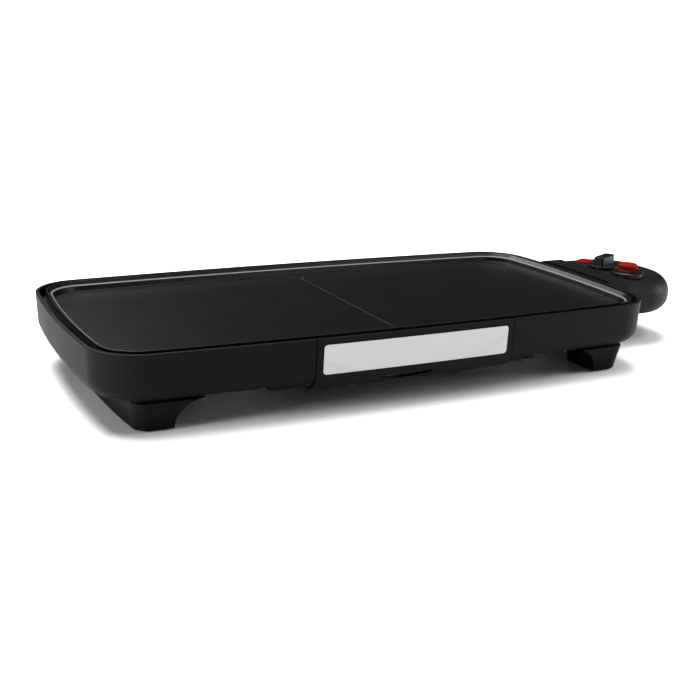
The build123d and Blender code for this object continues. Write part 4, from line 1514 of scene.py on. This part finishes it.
@dataclass
class Element(Assembly):
    """Sheathed heating tube: an outer and an inner loop, with both ends at the control."""

    z: float = 52.6
    tube_r: float = 3.25
    bend_r: float = 13.0
    pin_y: float = 14.0
    middle_y: float = CONTROL_Y
    start_x: float = 246.0

    def pieces(self) -> Pieces:
        """The tube.

        Returns:
            The piece with its swept tube.
        """
        half = [(228, self.pin_y), (228, 95), (-235, 95), (-235, 32), (165, 32)]
        near = [(x, y + (self.middle_y if y == self.pin_y else 0)) for x, y in half]
        far = [(x, (self.middle_y if y == self.pin_y else 0) - y) for x, y in reversed(half)]
        ends = [(self.start_x, self.middle_y + side * self.pin_y, 0) for side in (1, -1)]
        bends = [ends[0], *[(x, y, self.bend_r) for x, y in near + far], ends[1]]
        path = [(x, y, self.z) for x, y in rounded(bends, 9.0)]
        tube = sweep("tube", path, circle(self.tube_r, count=20), closed=False)
        piece = Piece("heating_tube", "root", "element_steel", Finish.ELEMENT, ("heating_element",))
        yield piece, [tube]


@dataclass
class Control(Assembly):
    """Docking collar on the casing and the plug-in control box."""

    casing: Casing
    y: float = CONTROL_Y
    collar_x: float = 303.0
    collar_half: float = 65.5
    collar_z: Point = (29.4, 71.0)
    collar_r: float = 14.0
    collar_back: float = 266.0
    collar_ease: float = 1.5
    collar_room: Triple = (94.0, 31.5, 49.75)    # its hollow's width, height and middle height
    box_x: float = 303.4
    tip_x: float = 386.5
    box_half: float = 64.0
    corner_r: float = 52.0
    low_z: float = 30.0
    top_z: float = DECK_Z
    top_round: float = 20.0
    base_round: float = 17.0
    seam_z: float = 43.5
    seam: float = 0.2
    wall: float = 2.4
    plug_half: float = 26.0
    plug_z: Point = (44.6, 60.6)
    holes: tuple[Point, ...] = ((DIAL_Y, 3.3), (BUTTON_Y, 6.4), (PILOT_Y, 8.6))    # place and radius
    rows: int = 12                               # spans round the box's upper and lower edge

    def collar(self) -> Solid:
        """Collar with an eased front edge, hollow behind its plug opening.

        Returns:
            The solid.
        """
        low, high = self.collar_z
        middle = (low + high) / 2
        loops = []
        ease = self.collar_ease
        for n in range(6):
            angle = pi / 2 * n / 5
            inset, x = ease * (1 - cos(angle)), self.collar_x - ease + ease * sin(angle)
            width, height = 2 * (self.collar_half - inset), high - low - 2 * inset
            flat = oblong(width, height, self.collar_r - inset, self.y, middle)
            loops.append([Vector((x, y, z)) for y, z in flat])
        start = [Vector((self.collar_back, v.y, v.z)) for v in loops[0]]
        body = lofted("collar", [start] + loops)
        case = self.casing
        low_z = case.low_z - 0.1
        section = [(-0.1, 90, 0), (-0.1, case.rim_z, 0), (case.foot_inset - 0.1, low_z, case.round_r)]
        section += [(40, low_z, 0), (40, 90, 0)]
        end = RIM.arcs()[0]
        path = [end.point(n / 40) for n in range(41)]
        room = sweep("casing_room", path, rounded(section), closed=False)
        width, height, z = self.collar_room
        hollow = lengthwise("hollow", oblong(width, height, 2, self.y, z), 250, self.collar_x - 3)
        opening = self.plug_outline(0.6)
        return cut(body, room, hollow, lengthwise("plug_opening", opening, 255, self.collar_x + 1))

    def plug_outline(self, play: float) -> list[Point]:
        """Outline of the plug opening in Y and Z, larger by play all round."""
        z0, z1 = self.plug_z
        return oblong(2 * (self.plug_half + play), z1 - z0 + 2 * play, 1.0, self.y, (z0 + z1) / 2)

    def plan(self, inset: float, z: float) -> list[Vector]:
        """Level outline of the box.

        Args:
            inset: how far it is drawn in, except along its flat inner face.
            z: its height.

        Returns:
            The outline.
        """
        half, tip, r = self.box_half - inset, self.tip_x - inset, self.corner_r - inset
        corners = [(self.box_x, -half, 0), (tip, -half, r), (tip, half, r), (self.box_x, half, 0)]
        return [Vector((x, y + self.y, z)) for x, y in rounded(corners, 5.0)]

    def outside(self, name: str, low: float, high: float, shrink: float = 0.0) -> Solid:
        """Pillow-edged solid between two heights.

        Args:
            name: name of the solid.
            low: its lowest point, if above the box's underside.
            high: its highest point, if below the box's top.
            shrink: how much smaller it is all round.

        Returns:
            The solid.
        """
        turns = [pi / 2 * n / self.rows for n in range(self.rows + 1)]
        base_r, top_r = self.base_round - shrink, self.top_round - shrink
        base = [(base_r * (1 - cos(t)), self.low_z + shrink + base_r * (1 - sin(t))) for t in reversed(turns)]
        top = [(top_r * (1 - cos(t)), self.top_z - shrink - top_r * (1 - sin(t))) for t in turns]
        body = lofted(name, [self.plan(inset + shrink, z) for inset, z in base + top])
        if low <= self.low_z and high >= self.top_z:
            return body
        slab = upright("slab", oblong(200, 200, 1, 350, 0), low, high)
        return cut(body, slab, keep_common=True)

    def hole(self, y: float, r: float) -> Solid:
        """Round cutter through the box's top."""
        return upright("hole", circle(r, DECK_X, y, 64), 58, 80)

    def half(self, name: str, low: float, high: float, *cutters: Solid) -> Solid:
        """One hollow half of the box.

        Args:
            name: name of the solid.
            low: its lowest point, if above the box's underside.
            high: its highest point, if below the box's top.
            cutters: what is cut away from it.

        Returns:
            The solid.
        """
        body = self.outside(name, low, high)
        plug = lengthwise("plug", self.plug_outline(0), self.box_x - 1, self.box_x + 5)
        body = cut(body, self.outside("hollow", 0, 100, self.wall), plug, *cutters)
        return soften(body, 0.25, 2, 50)

    def pieces(self) -> Pieces:
        """The collar and both halves of the box.

        Returns:
            The three pieces, each with its solid.
        """
        piece = Piece("plug_collar", "root", "casing_plastic", Finish.CASING, ("docking_collar",))
        yield piece, [self.collar()]
        low, high = self.seam_z - self.seam / 2, self.seam_z + self.seam / 2
        holes = [self.hole(y, r) for y, r in self.holes]
        halves = [
            ("control_top", high, 100, holes, "control_upper_shell"),
            ("control_base", 0, low, [], "control_lower_shell"),
        ]
        for name, bottom, top, cutters, node in halves:
            piece = Piece(name, "control_unit", "control_plastic", Finish.CONTROL, (node,))
            yield piece, [self.half(name + ".shell", bottom, top, *cutters)]


@dataclass
class Dial(Assembly):
    """Temperature dial with a straight grip bar and a fine pointer line."""

    x: float = DECK_X
    y: float = DIAL_Y
    low_z: float = 70.8
    disc_z: float = 74.5
    disc_r: float = 17.0
    bar_z: float = 84.3
    bar: Point = (31.0, 11.5)             # length and width
    turn: float = 26.6                    # degrees from the X axis

    def pieces(self) -> Pieces:
        """The dial.

        Returns:
            The piece with its disc and its grip bar.
        """
        edge = [(self.disc_r, self.low_z, 0.5), (self.disc_r, self.disc_z, 1.4)]
        profile = rounded([(0, self.low_z, 0), *edge, (0, self.disc_z, 0)])
        disc = turned("disc", profile, 0, 0, 72)
        length, width = self.bar
        easing = [(0, 1.6), (-0.15, 0.9), (-0.5, 0.35), (-1.0, 0.08), (-1.5, 0)]
        lines = [(0, self.disc_z - 0.5), *[(d, self.bar_z - drop) for d, drop in easing]]
        loops = [
            [Vector((x, y, z)) for x, y in oblong(length + 2 * d, width + 2 * d, 2.2 + d * 0.6)]
            for d, z in lines
        ]
        bar = lofted("bar", loops)
        pointer = oblong(9.0, 0.9, 0.4, length / 2 - 6.5, 0)
        bar = cut(bar, upright("pointer", pointer, self.bar_z - 0.25, self.bar_z + 1))
        turn = Matrix.Rotation(radians(self.turn), 4, "Z")
        for part in (disc, bar):
            part.data.transform(Matrix.Translation((self.x, self.y, 0)) @ turn)
        piece = Piece("dial", "knob", "control_plastic", Finish.DIAL, ("temperature_knob",))
        yield piece, [disc, bar]


@dataclass
class PushButton(Assembly):
    """Red domed push button in its black ring."""

    x: float = DECK_X
    y: float = BUTTON_Y
    deck_z: float = DECK_Z

    def pieces(self) -> Pieces:
        """The button and its ring.

        Returns:
            Both pieces, each with its solid.
        """
        stem = [(0, -8, 0), (6, -8, 0), (6, 2.8, 0.2)]
        skirt = [(13, 2.8, 0.3), (13, 5.2, 0.8), (9.9, 8.0, 1.0)]
        dome = [(10.5, 10.2, 1.6), (8.8, 12.8, 2.4), (0, 13.7, 0)]
        profile = [(r, self.deck_z + z) for r, z in rounded(stem + skirt + dome, 7.0)]
        piece = Piece("push_button", "power_button", "button_red", Finish.BUTTON, ("power_button",))
        yield piece, [turned("cap", profile, self.x, self.y)]
        edge = [(13.5, 0, 0), (16.5, 0, 0.1), (16.5, 3.2, 1.4), (14.6, 4.4, 0.5), (13.5, 4.2, 0.3)]
        profile = [(r, self.deck_z + z) for r, z in rounded(edge, 7.0)]
        piece = Piece("button_ring", "control_unit", "control_plastic", Finish.DIAL, ("button_collar",))
        yield piece, [turned("ring", profile, self.x, self.y)]


@dataclass
class PilotLight(Assembly):
    """Red domed lens of the pilot light."""

    x: float = DECK_X
    y: float = PILOT_Y
    deck_z: float = DECK_Z

    def pieces(self) -> Pieces:
        """The lens.

        Returns:
            The piece with its turned lens.
        """
        flange = [(0, -4.5, 0), (10.6, -4.5, 0.3), (10.6, -2.5, 0.2), (8.5, -2.5, 0)]
        dome = [(8.5, 1.3, 0.8), (6.2, 2.6, 3.0), (0, 3.0, 0)]
        profile = [(r, self.deck_z + z) for r, z in rounded(flange + dome, 7.0)]
        piece = Piece("pilot_lens_dome", "control_unit", "pilot_red", Finish.LENS, ("pilot_lens",))
        yield piece, [turned("lens", profile, self.x, self.y, 56)]


def dress_frame(paints: Paints) -> None:
    """Gives every CAD node that is still shown the finish of its slot.

    Args:
        paints: the finishes.
    """
    for name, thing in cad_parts.items():
        if thing.hide_render:
            continue
        for slot in thing.material_slots:
            label = slot.material.name.split(".")[0]
            slot.material = paints.for_slot(label)
        log.info("%s keeps its CAD mesh", name)


# ---- Studio ------------------------------------------------------------------------------------------------
@dataclass
class Studio:
    """Pale floor, soft lights and the camera."""

    eye: Triple = (-0.51145, -0.8970, 0.3109)
    azimuth: float = -27.399
    elevation: float = 16.588
    roll: float = 2.070
    lens: float = 54.951
    sensor: float = 36.0
    floor_size: float = 60.0
    floor_tone: Colour = (0.86, 0.86, 0.86)
    room_light: float = 0.03
    wall_light: float = 1.3
    sky_light: float = 5.4
    sky_angle: float = 40.0
    sky_from: Triple = (-0.05, 0.22, 1.0)

    def camera(self) -> None:
        """Puts the camera in its place."""
        a, e, turn = radians(self.azimuth), radians(self.elevation), radians(self.roll)
        back = Vector((sin(a) * cos(e), -cos(a) * cos(e), sin(e)))
        right = (-back).cross(Vector((0, 0, 1))).normalized()
        up = right.cross(-back)
        level = Matrix((right, up, back)).transposed()
        data = bpy.data.cameras.new("camera")
        data.lens = self.lens
        data.sensor_width = self.sensor
        made = link("camera", data)
        rolled = level @ Matrix.Rotation(turn, 3, "Z")
        made.matrix_world = Matrix.Translation(self.eye) @ rolled.to_4x4()
        bpy.context.scene.camera = made

    def softbox(self, name: str, at: Triple, aim: Triple, size: Point, watts: float) -> None:
        """Adds a rectangular soft light that faces a point.

        Args:
            name: name of the light.
            at: its place.
            aim: the point that it faces.
            size: its width and height.
            watts: its power.
        """
        data = bpy.data.lights.new(name, "AREA")
        data.shape = "RECTANGLE"
        data.size, data.size_y = size
        data.energy = watts
        made = link(name, data)
        made.location = at
        made.rotation_euler = (Vector(at) - Vector(aim)).to_track_quat("Z", "Y").to_euler()

    def floor(self) -> None:
        """Lays the floor."""
        s = Shader("studio_floor")
        half = self.floor_size / 2
        corners = [(-half, -half), (half, -half), (half, half), (-half, half)]
        bm = bmesh.new()
        bm.faces.new([bm.verts.new((x, y, 0)) for x, y in corners])
        made = from_bmesh("studio_floor", bm, outwards=False)
        matt = {"Base Color": (*self.floor_tone, 1), "Roughness": 0.9, "Specular IOR Level": 0.1}
        made.data.materials.append(s.surface(matt, None, 0))

    def world(self) -> None:
        """Fills the room with dim light, in front of a white wall."""
        world = bpy.data.worlds.new("studio")
        world.use_nodes = True
        room = NodeTree(world.node_tree, "ShaderNode")
        room.tree.nodes.clear()
        seen = room.add("LightPath", {}, {}).outputs["Is Camera Ray"]
        limits = {"Value": seen, "To Min": self.room_light, "To Max": self.wall_light}
        level = room.add("MapRange", {}, limits).outputs["Result"]
        wall = room.add("Background", {}, {"Color": (1, 1, 1, 1), "Strength": level})
        room.add("OutputWorld", {}, {"Surface": wall.outputs[0]})
        bpy.context.scene.world = world
        bpy.context.scene.view_settings.view_transform = "Standard"

    def sky(self) -> None:
        """Adds an even, very soft light from above."""
        data = bpy.data.lights.new("sky", "SUN")
        data.energy = self.sky_light
        data.angle = radians(self.sky_angle)
        made = link("sky", data)
        made.rotation_euler = Vector(self.sky_from).to_track_quat("Z", "Y").to_euler()

    def build(self) -> None:
        """Sets up the whole studio."""
        self.camera()
        self.floor()
        self.world()
        self.sky()
        self.softbox("left", (-0.95, -0.2, 0.14), (-0.3, -0.1, 0.05), (0.14, 0.25), 5)
        self.softbox("right", (1.5, -0.45, 0.35), (0.3, 0, 0.05), (0.6, 0.5), 13)
        self.softbox("above", (0.6, -0.5, 1.1), (0, 0, 0.05), (0.7, 0.5), 7)
        self.softbox("back", (-0.35, 0.9, 1.0), (0.1, 0, 0.06), (0.7, 0.5), 16)


def main() -> None:
    """Builds every piece in order."""
    logging.basicConfig(level=logging.INFO, format="%(name)s: %(message)s")
    paints = Paints()
    casing = Casing()
    casing.build(paints)
    GriddlePlate().build(paints)
    Drawer(casing).build(paints)
    Feet().build(paints)
    Screws().build(paints)
    Element().build(paints)
    Control(casing).build(paints)
    Dial().build(paints)
    PushButton().build(paints)
    PilotLight().build(paints)
    dress_frame(paints)
    Studio().build()


if __name__ == "__main__":
    main()
